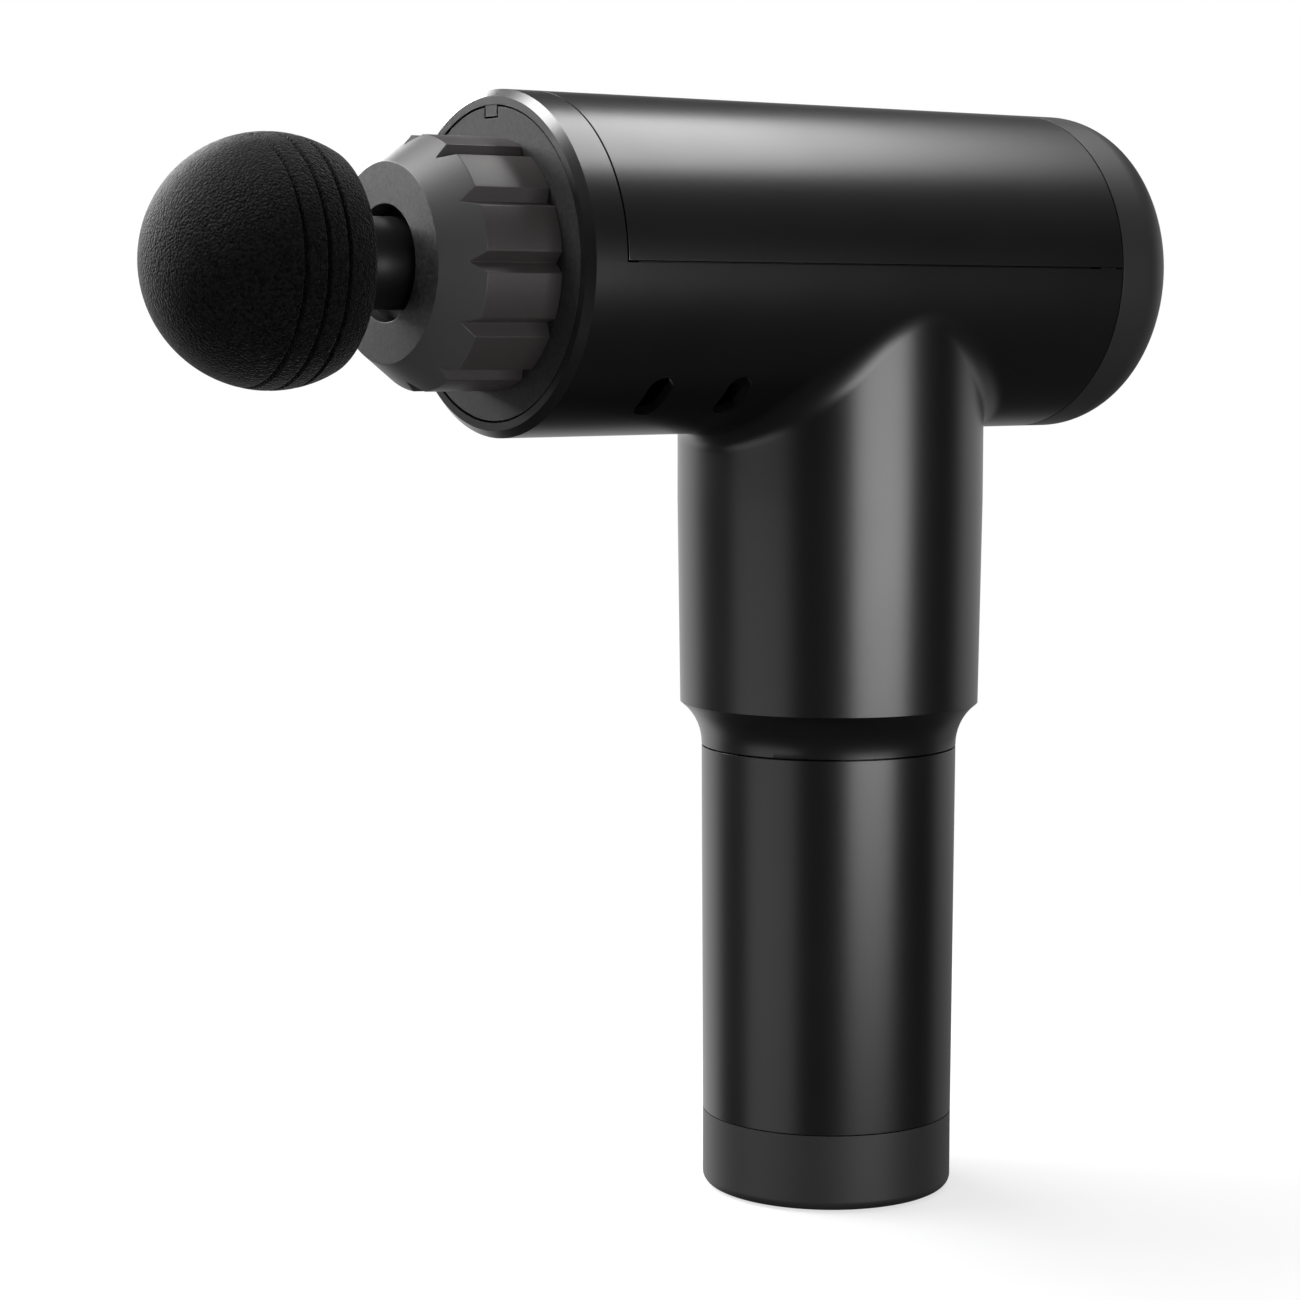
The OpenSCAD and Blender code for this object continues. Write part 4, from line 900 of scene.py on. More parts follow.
@dataclass
class Housing:
    """The main shell: front ring, lower half of the barrel, grip, hollow neck and battery socket."""

    palette: Palette
    blend: GripBlend = field(default_factory=GripBlend)
    front_x: float = -81.9
    ring_x: float = -73.7
    chamfer: float = 1.4
    frame_r: float = 29.6
    bulkhead_x: Point = (-76.31, -74.31)
    bulkhead_bore: float = 16.93
    key_x: Point = (-81.75, -79.9)
    key_width: float = 3.8
    key_depth: float = 2.2
    key_root: float = 0.8
    wall: float = 1.9
    seam_z: float = 91.5
    neck_z: float = 100.3
    neck_r: float = 30.4
    tube_r: float = 26.0
    taper_z: float = 141.5
    cup_z: Point = (92.0, 107.5)
    cup_r: float = 24.1
    cup_lip: Point = (92.2, 24.9)
    cup_roof: Point = (109.5, 28.6)
    contact_z: Point = (105.0, 112.0)
    contact_ring: float = 10.0
    contact_angles: Vec = (0, 120, 240)
    contact_hole: float = 2.6
    vent_x: Point = (-59.4, -40.9)
    vent_length: float = 10.8
    vent_width: float = 5.4
    vent_depth: float = 9.0
    vent_angle: float = 50.0
    side_columns: int = 64
    cove_rows: int = 8
    taper_rows: int = 6
    grip_rows: int = 5
    blend_rows: int = 12
    barrel_rows: int = 24

    def build(self) -> None:
        """Makes the shell and dresses it."""
        shell = self.skin()
        thicken(shell, self.wall)
        self.weld_ring(shell)
        cut(shell, [self.socket(), self.key()], Boolean.ADD)
        cut(shell, list(self.vent_tools()))
        spots = around(self.contact_ring, self.contact_angles)
        cut(shell, [bar(Axis.HANDLE, self.contact_z, self.contact_hole, spot) for spot in spots])
        round_edges(shell, angle=38.0)
        self.palette.dress(smooth(shell, angle=38.0), "main_housing")

    def perimeter(self) -> Iterator[Point]:
        """Points of the shell's upper edge, unrolled on the barrel.

        Yields:
            (x, arc length from the bottom line), round from the rear edge's middle.
        """
        half = BARREL_R * math.pi / 2
        corners = [(REAR_X, -half), (REAR_X, half), (self.ring_x, half), (self.ring_x, -half)]
        for corner, following in zip(corners, corners[1:] + corners[:1]):
            for step in range(self.side_columns):
                share = step / self.side_columns
                yield tuple(a + (b - a) * share for a, b in zip(corner, following))

    def column(self, edge: Point) -> list[Vector]:
        """One column of the skin, from the seam up the neck, the grip and the blend to the edge.

        Args:
            edge: the column's end on the barrel, unrolled.
        Returns:
            Points in mm.
        """
        turn = math.atan2(edge[1], edge[0])
        drop = self.neck_r - self.tube_r
        height = self.neck_z - self.seam_z
        cove = (drop * drop + height * height) / (2 * drop)
        profile = []
        for i in range(self.cove_rows + 1):
            z = height * i / self.cove_rows
            profile.append((self.tube_r + cove - math.sqrt(cove * cove - z * z), self.seam_z + z))
        for i in range(1, self.taper_rows + 1):
            share = i / self.taper_rows
            r = self.neck_r + (self.blend.grip_r - self.neck_r) * share
            profile.append((r, self.neck_z + (self.taper_z - self.neck_z) * share))
        points = [Vector((r * math.cos(turn), r * math.sin(turn), z)) for r, z in profile]
        rise = Vector((0, 0, AXIS_Z))
        arc_points = [point + rise for point in self.blend.section(turn, self.blend_rows)]
        low, high = points[-1], arc_points[0]
        points += [low.lerp(high, i / self.grip_rows) for i in range(1, self.grip_rows)]
        points += arc_points
        last = arc_points[-1] - rise
        start = (last.x, BARREL_R * math.atan2(last.y, -last.z))
        for i in range(1, self.barrel_rows + 1):
            x, along = (a + (b - a) * i / self.barrel_rows for a, b in zip(start, edge))
            swing = along / BARREL_R
            points.append(Vector((x, BARREL_R * math.sin(swing), AXIS_Z - BARREL_R * math.cos(swing))))
        return points

    def skin(self) -> Piece:
        """Extrudes the outer surface ring by ring from a circle.

        Returns:
            An open surface with its normals outwards.
        """
        columns = [self.column(edge) for edge in self.perimeter()]
        deselect_all()
        bpy.ops.mesh.primitive_circle_add(vertices=len(columns), radius=self.tube_r * MM)
        shell = named_active("housing_shell")
        for vertex, column in zip(shell.data.vertices, columns):
            vertex.co = column[0] * MM
        edit_all(shell)
        for row in range(1, len(columns[0])):
            bpy.ops.mesh.extrude_edges_indiv()
            mesh = bmesh.from_edit_mesh(shell.data)
            mesh.verts.ensure_lookup_table()
            for vertex, i in self.follow(mesh, len(columns)).items():
                vertex.co = columns[i][row] * MM
        bmesh.update_edit_mesh(shell.data)
        face_outwards(shell)
        return shell

    @staticmethod
    def follow(mesh: bmesh.types.BMesh, count: int) -> dict[bmesh.types.BMVert, int]:
        """Finds which column each newly extruded vertex belongs to.

        Args:
            mesh: the mesh in edit mode.
            count: vertices of a ring.
        Returns:
            The new vertices with their column numbers.
        """
        found = {}
        for vertex in mesh.verts:
            if vertex.select:
                ends = [edge.other_vert(vertex) for edge in vertex.link_edges]
                found[vertex] = next(end for end in ends if not end.select).index % count
        return found

    def front_ring(self) -> Piece:
        """The ring that frames the front plate, with its bulkhead.

        Returns:
            A closed ring, lined up with the shell's columns.
        """
        rim = BARREL_R - self.chamfer
        outline = [(self.front_x, self.frame_r), (self.front_x, rim), (self.front_x + self.chamfer, BARREL_R)]
        front, back = self.bulkhead_x
        step_on(outline, self.ring_x, BARREL_R - self.wall, back, self.bulkhead_bore, front, self.frame_r)
        return lathe("front_ring", Axis.BARREL, outline, steps=2 * self.side_columns)

    def weld_ring(self, shell: Piece) -> None:
        """Joins the front ring to the shell's front edge, with no seam below the cover.

        Args:
            shell: the shell, open towards the ring.
        """
        merge([shell, self.front_ring()])
        edit_all(shell)
        bpy.ops.mesh.select_all(action="DESELECT")
        edge_x, near, weld = self.ring_x * MM, 1e-5, 1e-4
        mesh = bmesh.from_edit_mesh(shell.data)
        for vertex in mesh.verts:
            vertex.select = abs(vertex.co.x - edge_x) < near
        bpy.ops.mesh.remove_doubles(threshold=weld)
        bpy.ops.mesh.select_all(action="DESELECT")
        bpy.ops.mesh.select_mode(type="FACE")
        mesh = bmesh.from_edit_mesh(shell.data)
        for face in mesh.faces:
            inner = all(abs(vertex.co.x - edge_x) < near for vertex in face.verts)
            face.select = inner and face.calc_center_median().z < AXIS_Z * MM
        bpy.ops.mesh.delete(type="FACE")
        bpy.ops.mesh.select_mode(type="VERT")
        close_edit()

    def key(self) -> Piece:
        """The key at the top of the ring that keeps the front plate from turning.

        Returns:
            A box that reaches into the ring.
        """
        half = self.key_width / 2
        front, back = self.key_x
        top = AXIS_Z + self.frame_r
        return box_tool((front, -half, top - self.key_depth), (back, half, top + self.key_root))

    def socket(self) -> Piece:
        """The cup inside the neck that takes the battery's spigot."""
        outline = step_on([(self.cup_z[0], self.cup_r)], self.cup_z[1], 0.0, *self.cup_roof)
        return lathe("socket_cup", Axis.HANDLE, [*outline, self.cup_lip], steps=96)

    def vent_tools(self) -> Iterator[Piece]:
        """Round-ended prisms for the vents, two on each side.

        Yields:
            Cutting tools.
        """
        stretch = (self.vent_length - self.vent_width) / 2 * MM
        half = self.vent_depth / 2
        for x in self.vent_x:
            for side in (-1, 1):
                tool = bar(Axis.HANDLE, (-half, half), self.vent_width / 2)
                for vertex in tool.data.vertices:
                    vertex.co.y += math.copysign(stretch, vertex.co.y)
                    vertex.co += Vector((x, 0, AXIS_Z - BARREL_R)) * MM
                turn_about(tool, Axis.BARREL, side * (90 - self.vent_angle))
                yield tool


@dataclass
class TopCover:
    """The half shell over the barrel, with tongues behind its lower edges."""

    palette: Palette
    front_x: float = -73.35
    wall: float = 2.2
    heights: Point = (0.35, 2 * BARREL_R)
    tongue_x: Point = (-69.7, 43.2)
    tongue_wall: float = 1.1
    tongue_play: float = 0.1
    tongue_heights: Point = (-2.5, 4.0)

    def build(self) -> None:
        """Makes the cover and dresses it."""
        cover = self.half_tube("top_cover_shell", BARREL_R, self.wall, (self.front_x, REAR_X), self.heights)
        tongue_r = BARREL_R - self.wall - self.tongue_play
        tongue = self.half_tube("tongue", tongue_r, self.tongue_wall, self.tongue_x, self.tongue_heights)
        self.palette.dress(smooth(merge([round_edges(cover), tongue])), "top_cover")

    @staticmethod
    def half_tube(name: str, radius: float, wall: float, span: Point, heights: Point) -> Piece:
        """A tube along the barrel, kept only between two heights.

        Args:
            name: the object's name.
            radius: outer radius.
            wall: thickness, inwards.
            span: x of its ends.
            heights: its lowest and highest height over the barrel's line.
        Returns:
            A closed piece.
        """
        bar(Axis.BARREL, span, radius, sides=256, hollow=True)
        tube = named_active(name)
        for height, normal in zip(heights, (-1, 1)):
            edit_all(tube)
            plane = (0, 0, (AXIS_Z + height) * MM)
            bpy.ops.mesh.bisect(plane_co=plane, plane_no=(0, 0, normal), clear_outer=True)
            close_edit()
        face_outwards(tube)
        thicken(tube, wall)
        return tube


@dataclass
class RearEnd:
    """The rounded rear cap with its display panel, light ring and button."""

    palette: Palette
    seam_x: float = 50.2
    end_x: float = 68.0
    round_r: float = 11.0
    inner_round_from: float = 40.0
    wall: float = 2.2
    spigot_x: Point = (46.2, 51.4)
    spigot_r: Point = (28.7, 30.15)
    opening_r: float = 20.1
    shelf_x: Point = (64.37, 65.97)
    shelf_r: Point = (15.7, 24.0)
    panel_x: Point = (66.0, 67.8)
    panel_r: Point = (9.4, 20.0)
    light_ring_r: float = 14.3
    light_angles: tuple[float, ...] = (-50, -25, 0, 25, 50)
    light_hole: float = 0.95
    ring_r: Point = (7.5, 9.3)
    ring_flange_x: Point = (64.6, 65.95)
    ring_flange_r: Point = (8.8, 11.8)
    ring_step_x: float = 64.8
    button_x: float = 68.8
    button_r: float = 7.0
    crown_radii: tuple[float, ...] = (0, 1.5, 3, 4.5, 6, 7)
    crown_depth: float = 0.38
    dish_depth: float = 0.35
    dish_r: float = 4.2
    button_flange_x: Point = (63.6, 64.4)
    button_flange_r: float = 8.3
    button_stem: Point = (61.2, 2.0)

    def build(self) -> None:
        """Makes the four pieces and dresses them."""
        self.palette.dress(self.cap(), "rear_cap")
        self.palette.dress(self.panel(), "display_panel")
        self.palette.dress(self.ring(), "light_ring")
        self.palette.dress(self.button(), "power_button")

    def cap(self) -> Piece:
        """The rounded cap with its spigot and the shelf behind the panel.

        Returns:
            The cap.
        """
        bend = (self.end_x - self.round_r, BARREL_R - self.round_r)
        outline = [(self.seam_x, BARREL_R), *arc(bend, self.round_r, 90, 0, steps=24)]
        outline.append((self.end_x, self.opening_r))
        step_on(outline, self.shelf_x[1], self.shelf_r[0], self.shelf_x[0], self.shelf_r[1])
        outline += arc(bend, self.round_r - self.wall, self.inner_round_from, 90, steps=8)
        outline.append((self.spigot_x[1], BARREL_R - self.wall))
        outline.append((self.spigot_x[1], self.spigot_r[0]))
        step_on(outline, self.spigot_x[0], self.spigot_r[1], self.seam_x)
        return smooth(round_edges(lathe("rear_cap_shell", Axis.BARREL, outline), angle=40))

    def panel(self) -> Piece:
        """The gloss ring with five holes for the level lights.

        Returns:
            The panel.
        """
        (low, high), (bore, rim) = self.panel_x, self.panel_r
        panel = lathe("display_ring", Axis.BARREL, [(low, bore), *step_on([(low, rim)], high, bore)])
        spots = [(-side, up) for up, side in around(self.light_ring_r, self.light_angles)]
        reach = (low - OVERCUT, high + OVERCUT)
        cut(panel, [bar(Axis.BARREL, reach, self.light_hole, spot, sides=32) for spot in spots])
        return smooth(round_edges(panel, width=0.15))

    def ring(self) -> Piece:
        """The light guide round the button, with the flange that holds it behind the panel.

        Returns:
            The light ring.
        """
        (low, high), (inner, outer) = self.ring_flange_x, self.ring_flange_r
        outline = step_on([(low, inner)], self.ring_step_x, self.ring_r[0], self.panel_x[1], self.ring_r[1])
        step_on(outline, high, outer, low)
        return smooth(round_edges(lathe("button_light_ring", Axis.BARREL, outline, steps=128)))

    def button(self) -> Piece:
        """The crowned button with its stem and retaining flange.

        Returns:
            The button.
        """
        outline = []
        for r in self.crown_radii:
            dish = self.dish_depth * max(0.0, 1 - (r / self.dish_r) ** 2)
            outline.append((self.button_x - self.crown_depth * (r / self.button_r) ** 2 - dish, r))
        low, high = self.button_flange_x
        end, stem_r = self.button_stem
        step_on(outline, high, self.button_flange_r, low, stem_r, end, 0.0)
        button = lathe("power_button_cap", Axis.BARREL, outline, steps=96)
        return smooth(round_edges(button, width=0.3, angle=50, segments=3), angle=50)


@dataclass
class Nose:
    """The front plate and the fluted collar."""

    palette: Palette
    plate_x: Point = (-81.75, -79.9)
    plate_r: Point = (15.93, 29.25)
    notch_width: float = 4.5
    notch_heights: Point = (27.05, 32.05)
    face_x: float = -105.2
    cone_x: float = -97.9
    back_x: float = -81.8
    face_r: float = 18.5
    collar_r: float = 23.6
    mouth_r: float = 10.8
    wiper_x: Point = (-102.5, -99.5)
    wiper_r: float = 13.05
    guide_r: float = 16.03
    flutes: int = 12
    flute_depth: float = 2.0
    flute_half: float = 3.54
    flute_reach: float = 5.0
    flute_overrun: float = 3.0
    face_tilt: float = -0.85
    cone_tilt: float = -0.3

    def build(self) -> None:
        """Makes both pieces and dresses them."""
        self.palette.dress(self.plate(), "front_plate")
        self.palette.dress(self.collar(), "nose_collar")

    def plate(self) -> Piece:
        """The flat grained disc with its key notch.

        Returns:
            The plate.
        """
        (low, high), (bore, rim) = self.plate_x, self.plate_r
        plate = lathe("front_disc", Axis.BARREL, [(low, bore), *step_on([(low, rim)], high, bore)])
        half = self.notch_width / 2
        foot, top = (AXIS_Z + height for height in self.notch_heights)
        cut(plate, [box_tool((low - OVERCUT, -half, foot), (high + OVERCUT, half, top))])
        return smooth(round_edges(plate, width=0.15))

    def collar(self) -> Piece:
        """The cone and the collar with its V-shaped flutes, each face marked with its zone.

        Returns:
            The collar.
        """
        outline = [(self.face_x, self.mouth_r), (self.face_x, self.face_r), (self.cone_x, self.collar_r)]
        front, back = self.wiper_x
        step_on(outline, self.back_x, self.guide_r, back, self.wiper_r, front, self.mouth_r)
        collar = lathe("fluted_collar", Axis.BARREL, outline, steps=240)
        half = self.flute_half
        start, end = self.face_x - OVERCUT, self.back_x + self.flute_overrun
        tools = []
        for i in range(self.flutes):
            tool = box_tool((start, -half, AXIS_Z - half), (end, half, AXIS_Z + half))
            turn_about(tool, Axis.BARREL, 45)
            for vertex in tool.data.vertices:
                vertex.co.z += (self.collar_r - self.flute_depth + self.flute_reach) * MM
            turn_about(tool, Axis.BARREL, 90 + i * 360 / self.flutes)
            tools.append(tool)
        cut(collar, [merge(tools)])
        smooth(round_edges(collar, width=0.3, angle=25, segments=3), angle=30)
        zones = collar.data.attributes.new(NoseFinish.zone, "FLOAT", "FACE")
        for face, mark in zip(collar.data.polygons, zones.data):
            tilt = face.normal.x
            mark.value = 1.0 if tilt < self.face_tilt else 0.5 if tilt < self.cone_tilt else 0.0
        return collar


@dataclass
class Head:
    """The foam ball and the stem that it sits on."""

    palette: Palette
    centre_x: float = -129.4
    ball_r: float = 23.0
    ball_steps: int = 130
    back: float = 10.7
    edge_r: float = 0.9
    grooves: tuple[float, ...] = (-4.8, -0.5, 3.8)
    groove_depth: float = 1.0
    groove_half: float = 0.36
    groove_shares: tuple[float, ...] = (0.0, 0.2, 0.45, 0.65, 0.8, 0.9, 1.0, 1.1, 1.25, 1.5)
    fit: float = 0.03
    post_r: float = 7.0
    post_reach: float = 4.0
    disc_r: float = 14.0
    disc_sink: float = 3.0
    disc_proud: float = 0.4
    stem_r: float = 8.5
    stem_end: float = -75.5
    stem_edge: float = 0.8
    ring_spots: Point = (11.0, 5.0)
    ring_half: float = 0.9
    ring_depth: float = 1.0

    @property
    def flat_x(self) -> float:
        """Where the ball's flat back is."""
        return self.centre_x + self.back

    def build(self) -> None:
        """Makes both pieces and dresses them."""
        ball = self.ball()
        self.palette.dress(ball, "ball_foam")
        self.palette.dress(self.stem(), "head_stem")

    def ball(self) -> Piece:
        """The ball with three grooves behind its widest part and a flat back.

        Returns:
            The ball.
        """
        edge_x = self.back - self.edge_r
        edge_y = math.sqrt((self.ball_r - self.edge_r) ** 2 - edge_x**2)
        last = math.atan2(edge_y, edge_x)
        turns = [math.pi + (last - math.pi) * i / self.ball_steps for i in range(self.ball_steps + 1)]
        for groove in self.grooves:
            for share in self.groove_shares:
                offs = {share * self.groove_half, -share * self.groove_half}
                turns += [math.acos((groove + off) / self.ball_r) for off in offs]
        outline: list[Point] = []
        for turn in sorted(turns, reverse=True):
            x, r = self.ball_r * math.cos(turn), self.ball_r * math.sin(turn)
            cuts = [math.exp(-(((x - groove) / self.groove_half) ** 4)) for groove in self.grooves]
            outline.append((self.centre_x + x, max(r - self.groove_depth * sum(cuts), 0.0)))
        outline += arc((self.centre_x + edge_x, edge_y), self.edge_r, math.degrees(last), 0.0, steps=6)[1:]
        outline.append((self.flat_x, self.disc_r + self.fit))
        hollow_r = self.post_r + self.fit
        step_on(outline, self.flat_x - self.disc_sink, hollow_r, self.centre_x - self.post_reach, 0.0)
        return smooth(lathe("foam_ball", Axis.BARREL, outline), angle=60, weighted=False)

    def stem(self) -> Piece:
        """The plug with its disc, neck and two grooves for the rings.

        Returns:
            The stem.
        """
        tip = self.centre_x - self.post_reach + self.fit
        neck_x = self.flat_x + self.disc_proud
        outline = [(tip, 0.0), (tip, self.post_r)]
        disc_x = self.flat_x - self.disc_sink + self.fit
        step_on(outline, disc_x, self.disc_r, neck_x, self.stem_r + self.stem_edge)
        outline.append((neck_x + self.stem_edge, self.stem_r))
        bed_r = self.stem_r - self.ring_depth
        for spot in self.ring_spots:
            x = self.stem_end - spot
            step_on(outline, x - self.ring_half, bed_r, x + self.ring_half, self.stem_r)
        outline.append((self.stem_end - self.stem_edge, self.stem_r))
        outline += [(self.stem_end, self.stem_r - self.stem_edge), (self.stem_end, 0.0)]
        stem = lathe("stem_plug", Axis.BARREL, outline, steps=128)
        return smooth(round_edges(stem, width=0.25, segments=3))


@dataclass
class Battery:
    """The battery's tube and its base cap."""

    palette: Palette
    top_r: float = 26.0
    low_r: float = 25.6
    wall: float = 2.0
    base_h: float = 15.5
    seam: float = 0.15
    top_z: float = 91.15
    round_r: float = 2.0
    recess: Point = (2.2, 20.6)
    floor_z: float = 4.4
    inner_r: float = 23.6
    spigot_z: Point = (12.5, 17.47)
    spigot_r: Point = (22.2, 23.5)
    hole_z: Point = (1.0, 6.0)
    jack_r: float = 4.83
    jack_at: Point = (0.0, -10.0)
    light_r: float = 1.53
    light_at: Point = (9.0, -10.0)
    switch_x: Point = (-8.03, 8.03)
    switch_y: Point = (-0.53, 10.53)
    screw_ring: float = 17.4
    screw_angles: Vec = (30, 150, 270)
    screw_r: float = 1.13

    def build(self) -> None:
        """Makes both pieces and dresses them."""
        self.palette.dress(self.tube(), "battery_tube")
        self.palette.dress(self.base(), "base_cap")

    def tube(self) -> Piece:
        """The slightly tapered tube.

        Returns:
            The tube.
        """
        low = self.base_h + self.seam
        outline = [(low, self.low_r - self.wall), (low, self.low_r)]
        outline += [(self.top_z, self.top_r), (self.top_z, self.top_r - self.wall)]
        return smooth(round_edges(lathe("battery_sleeve", Axis.HANDLE, outline, steps=256)))

    def base(self) -> Piece:
        """The base cap with its recess and the openings for jack, switch, light and screws.

        Returns:
            The base cap.
        """
        outline = step_on([(self.recess[0], 0.0), self.recess], 0.0)
        outline += arc((self.round_r, self.low_r - self.round_r), self.round_r, 180, 90, steps=8)
        (inner, outer), (low, high) = self.spigot_r, self.spigot_z
        step_on(outline, self.base_h, outer, high, inner, low, self.inner_r, self.floor_z, 0.0)
        base = lathe("base_cap_shell", Axis.HANDLE, outline, steps=256)
        (left, right), (front, back) = self.switch_x, self.switch_y
        low, high = self.hole_z
        tools = [
            bar(Axis.HANDLE, self.hole_z, self.jack_r, self.jack_at),
            bar(Axis.HANDLE, self.hole_z, self.light_r, self.light_at, sides=32),
            box_tool((left, front, low), (right, back, high)),
        ]
        screws = around(self.screw_ring, self.screw_angles)
        cut(base, tools + [bar(Axis.HANDLE, self.hole_z, self.screw_r, spot, sides=24) for spot in screws])
        return smooth(round_edges(base, width=0.2, angle=45))


@dataclass
class InnerPieces:
    """Every other piece: a merged copy of the CAD node, smoothed and finished."""

    palette: Palette

    def build(self) -> None:
        """Copies, smooths and dresses the nodes that no piece stands for yet."""
        for node, source in sorted(frame["nodes"].items()):
            if node in self.palette.dressed:
                continue
            piece = put(node + "_smooth", source.data.copy())
            edit_all(piece)
            bpy.ops.mesh.customdata_custom_splitnormals_clear()
            bpy.ops.mesh.remove_doubles(threshold=2 * TOUCH)
            bpy.ops.mesh.select_all(action="SELECT")
            bpy.ops.mesh.tris_convert_to_quads(face_threshold=math.radians(1), shape_threshold=math.pi)
            close_edit()
            self.palette.dress(smooth(piece, angle=32), node)


# ---------- studio ----------


@dataclass(frozen=True)
class Softbox:
    """One soft lamp that faces the gun from a metre away."""

    name: str
    azimuth: float
    elevation: float
    width: float
    height: float
    radiance: float

    def build(self, target: Vector) -> None:
        """Hangs the lamp.

        Args:
            target: the point that it faces, in metres.
        """
        turn, lift = math.radians(self.azimuth), math.radians(self.elevation)
        away = Vector((math.sin(turn) * math.cos(lift), -math.cos(turn) * math.cos(lift), math.sin(lift)))
        data = bpy.data.lights.new(self.name, "AREA")
        data.shape = "RECTANGLE"
        data.size, data.size_y = self.width, self.height
        data.energy = self.radiance * math.pi * self.width * self.height
        lamp = put(self.name, data)
        lamp.location = target + away
        lamp.rotation_euler = (-away).to_track_quat("-Z", "Y").to_euler()


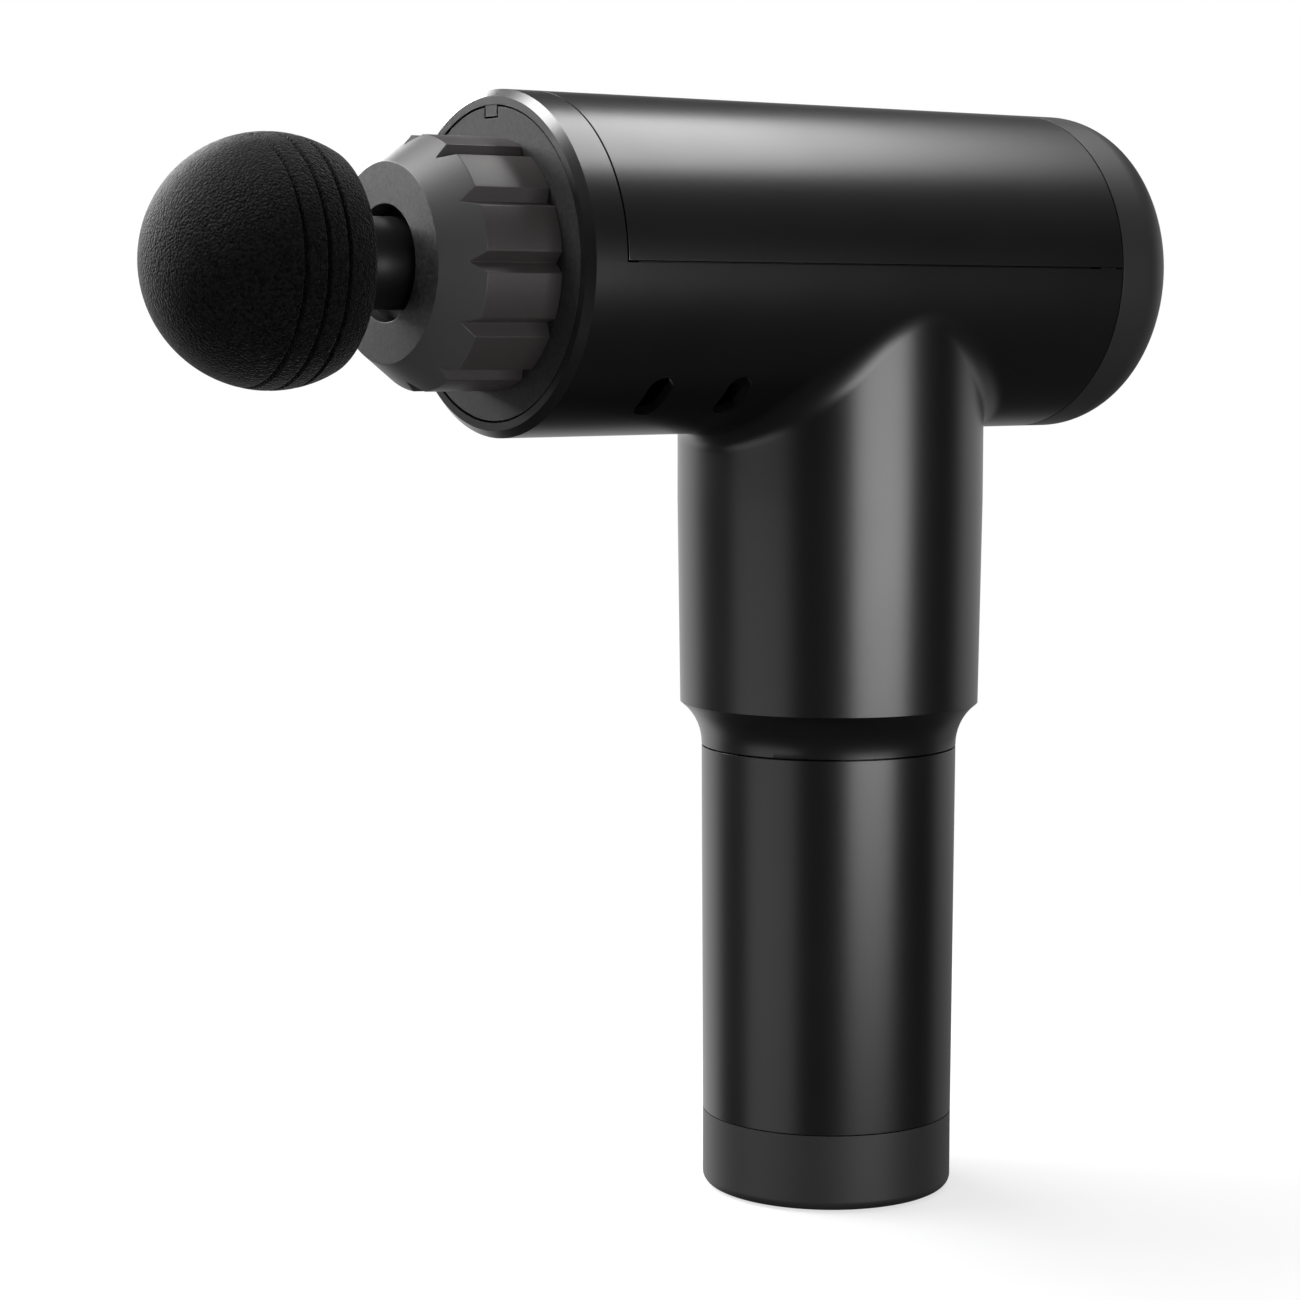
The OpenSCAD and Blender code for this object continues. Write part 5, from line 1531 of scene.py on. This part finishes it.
@dataclass
class Studio:
    """Floor, surround, lamps and camera. Ramps on height read a direction's z."""

    eye: Vec = (-0.4081, -0.5007, 0.1766)
    look_at: Vec = (-0.0452, 0.0, 0.1133)
    lens: float = 87.70
    sensor: float = 36.0
    aim: Vec = (0.0, 0.0, 0.15)
    lamps: tuple[Softbox, ...] = (
        Softbox("front_box", 0, -3.5, 0.75, 0.34, 5.3),
        Softbox("left_box", -92, -14, 0.85, 0.5, 0.72),
        Softbox("overhead_box", 90, 58.5, 0.76, 0.2, 7.6),
        Softbox("key_box", -128, 53, 0.46, 0.46, 17.0),
        Softbox("rim_box", 190, 22, 0.95, 0.3, 17.0),
    )
    backdrop_azimuth: float = 139.0
    backdrop_top: Ramp = (0.15, 0.34, 1.0, 0.0)
    backdrop_foot: Ramp = (-0.60, -0.40, 0.0, 1.0)
    backdrop_sides: Ramp = (0.30, 0.55, 0.0, 1.0)
    dim_side: Ramp = (-0.20, -0.06, 0.24, 0.72)
    dim_to_bright: Ramp = (-0.2, 0.25, 0.0, 1.0)
    room: Ramp = (-0.25, -0.05, 0.035, 0.01)
    ceiling: Ramp = (0.2, 0.6, 0.0, 0.13)
    ambient_from: Vec = (-0.6, 0.4, 0.69)
    ambient: Ramp = (-0.1, 0.95, 0.0, 0.9)
    shadow_reach: Ramp = (0.04, 0.40, 0.32, 0.0)
    floor_size: float = 12.0
    floor_z: float = -0.0002
    seen_floor: float = 0.8
    mirrored_floor: float = 0.25

    def build(self) -> None:
        """Sets up the whole studio."""
        for lamp in self.lamps:
            lamp.build(Vector(self.aim))
        self.surround()
        self.floor()
        self.camera()
        bpy.context.scene.view_settings.view_transform = "Standard"

    def surround(self) -> None:
        """White to the camera, a bright backdrop and a faint room to reflections, soft light to the rest."""
        world = bpy.data.worlds.new("studio_surround")
        bpy.context.scene.world = world
        wiring = Wiring.fresh(world)
        rays = wiring.add("LightPath").outputs
        direction = wiring.add("TexCoord").outputs["Generated"]
        height = wiring.add("SeparateXYZ", direction).outputs["Z"]
        turn = math.radians(self.backdrop_azimuth)
        facing = wiring.dot(direction, (math.sin(turn), -math.cos(turn), 0.0))
        across = wiring.dot(direction, (math.cos(turn), math.sin(turn), 0.0))
        band = wiring.ramp(height, self.backdrop_top)
        band = wiring.calc("MULTIPLY", band, wiring.ramp(height, self.backdrop_foot))
        band = wiring.calc("MULTIPLY", band, wiring.ramp(facing, self.backdrop_sides))
        to_bright = wiring.ramp(across, self.dim_to_bright)
        fade = wiring.mix(to_bright, wiring.ramp(height, self.dim_side), 1.0, Blend.NUMBERS)
        hall = wiring.calc("MAXIMUM", wiring.ramp(height, self.ceiling), wiring.ramp(height, self.room))
        mirrored = wiring.calc("MAXIMUM", wiring.calc("MULTIPLY", band, fade), hall)
        ambient = wiring.ramp(wiring.dot(direction, self.ambient_from), self.ambient)
        soft = wiring.mix(rays["Is Glossy Ray"], ambient, mirrored, Blend.NUMBERS)
        seen = wiring.calc("MAXIMUM", rays["Is Camera Ray"], rays["Is Transmission Ray"])
        shade = wiring.add("Background", (1, 1, 1, 1), wiring.calc("MAXIMUM", seen, soft))
        wiring.add("OutputWorld", shade.outputs[0])

    def floor(self) -> None:
        """A plain pale floor that keeps a soft shadow and is clear from below."""
        deselect_all()
        bpy.ops.mesh.primitive_plane_add(size=self.floor_size, location=(0, 0, self.floor_z))
        floor = named_active("studio_floor")
        floor.visible_glossy = False
        floor.visible_shadow = False
        floor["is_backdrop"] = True
        material = bpy.data.materials.new("pale_floor")
        wiring = Wiring.fresh(material)
        where = wiring.add("TexCoord").outputs["Object"]
        away = wiring.add("VectorMath", where, settings={"operation": "LENGTH"}).outputs["Value"]
        white = wiring.add("Emission", (1, 1, 1, 1), 1.0).outputs[0]
        tones = (self.seen_floor, self.mirrored_floor)
        pale, dim = (wiring.add("BsdfDiffuse", (tone, tone, tone, 1)).outputs[0] for tone in tones)
        lit = wiring.add("MixShader", wiring.ramp(away, self.shadow_reach), white, pale).outputs[0]
        seen = wiring.add("MixShader", wiring.add("LightPath").outputs["Is Camera Ray"], dim, lit).outputs[0]
        under = wiring.add("NewGeometry").outputs["Backfacing"]
        clear = wiring.add("BsdfTransparent").outputs[0]
        wiring.add("OutputMaterial", wiring.add("MixShader", under, seen, clear).outputs[0])
        floor.data.materials.append(material)

    def camera(self) -> None:
        """The camera, in front and to the head's side."""
        data = bpy.data.cameras.new("camera")
        data.lens = self.lens
        data.sensor_width = self.sensor
        data.sensor_fit = "AUTO"
        camera = put("camera", data)
        camera.location = self.eye
        camera.rotation_euler = (Vector(self.look_at) - Vector(self.eye)).to_track_quat("-Z", "Y").to_euler()
        bpy.context.scene.camera = camera


def write_sizes() -> None:
    boxes = {"cad": cad_box, "visual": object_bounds()}
    rows = {name: [list(corner) for corner in box] for name, box in boxes.items()}


def main() -> None:
    """Builds the studio and the sub-assemblies in order."""
    logging.basicConfig(level=logging.INFO, format="%(name)s: %(message)s")
    Studio().build()
    palette = Palette()
    for assembly in (Housing, TopCover, RearEnd, Nose, Head, Battery, InnerPieces):
        assembly(palette).build()
        LOG.info("%s done", assembly.__name__)
    write_sizes()


if __name__ == "__main__":
    main()
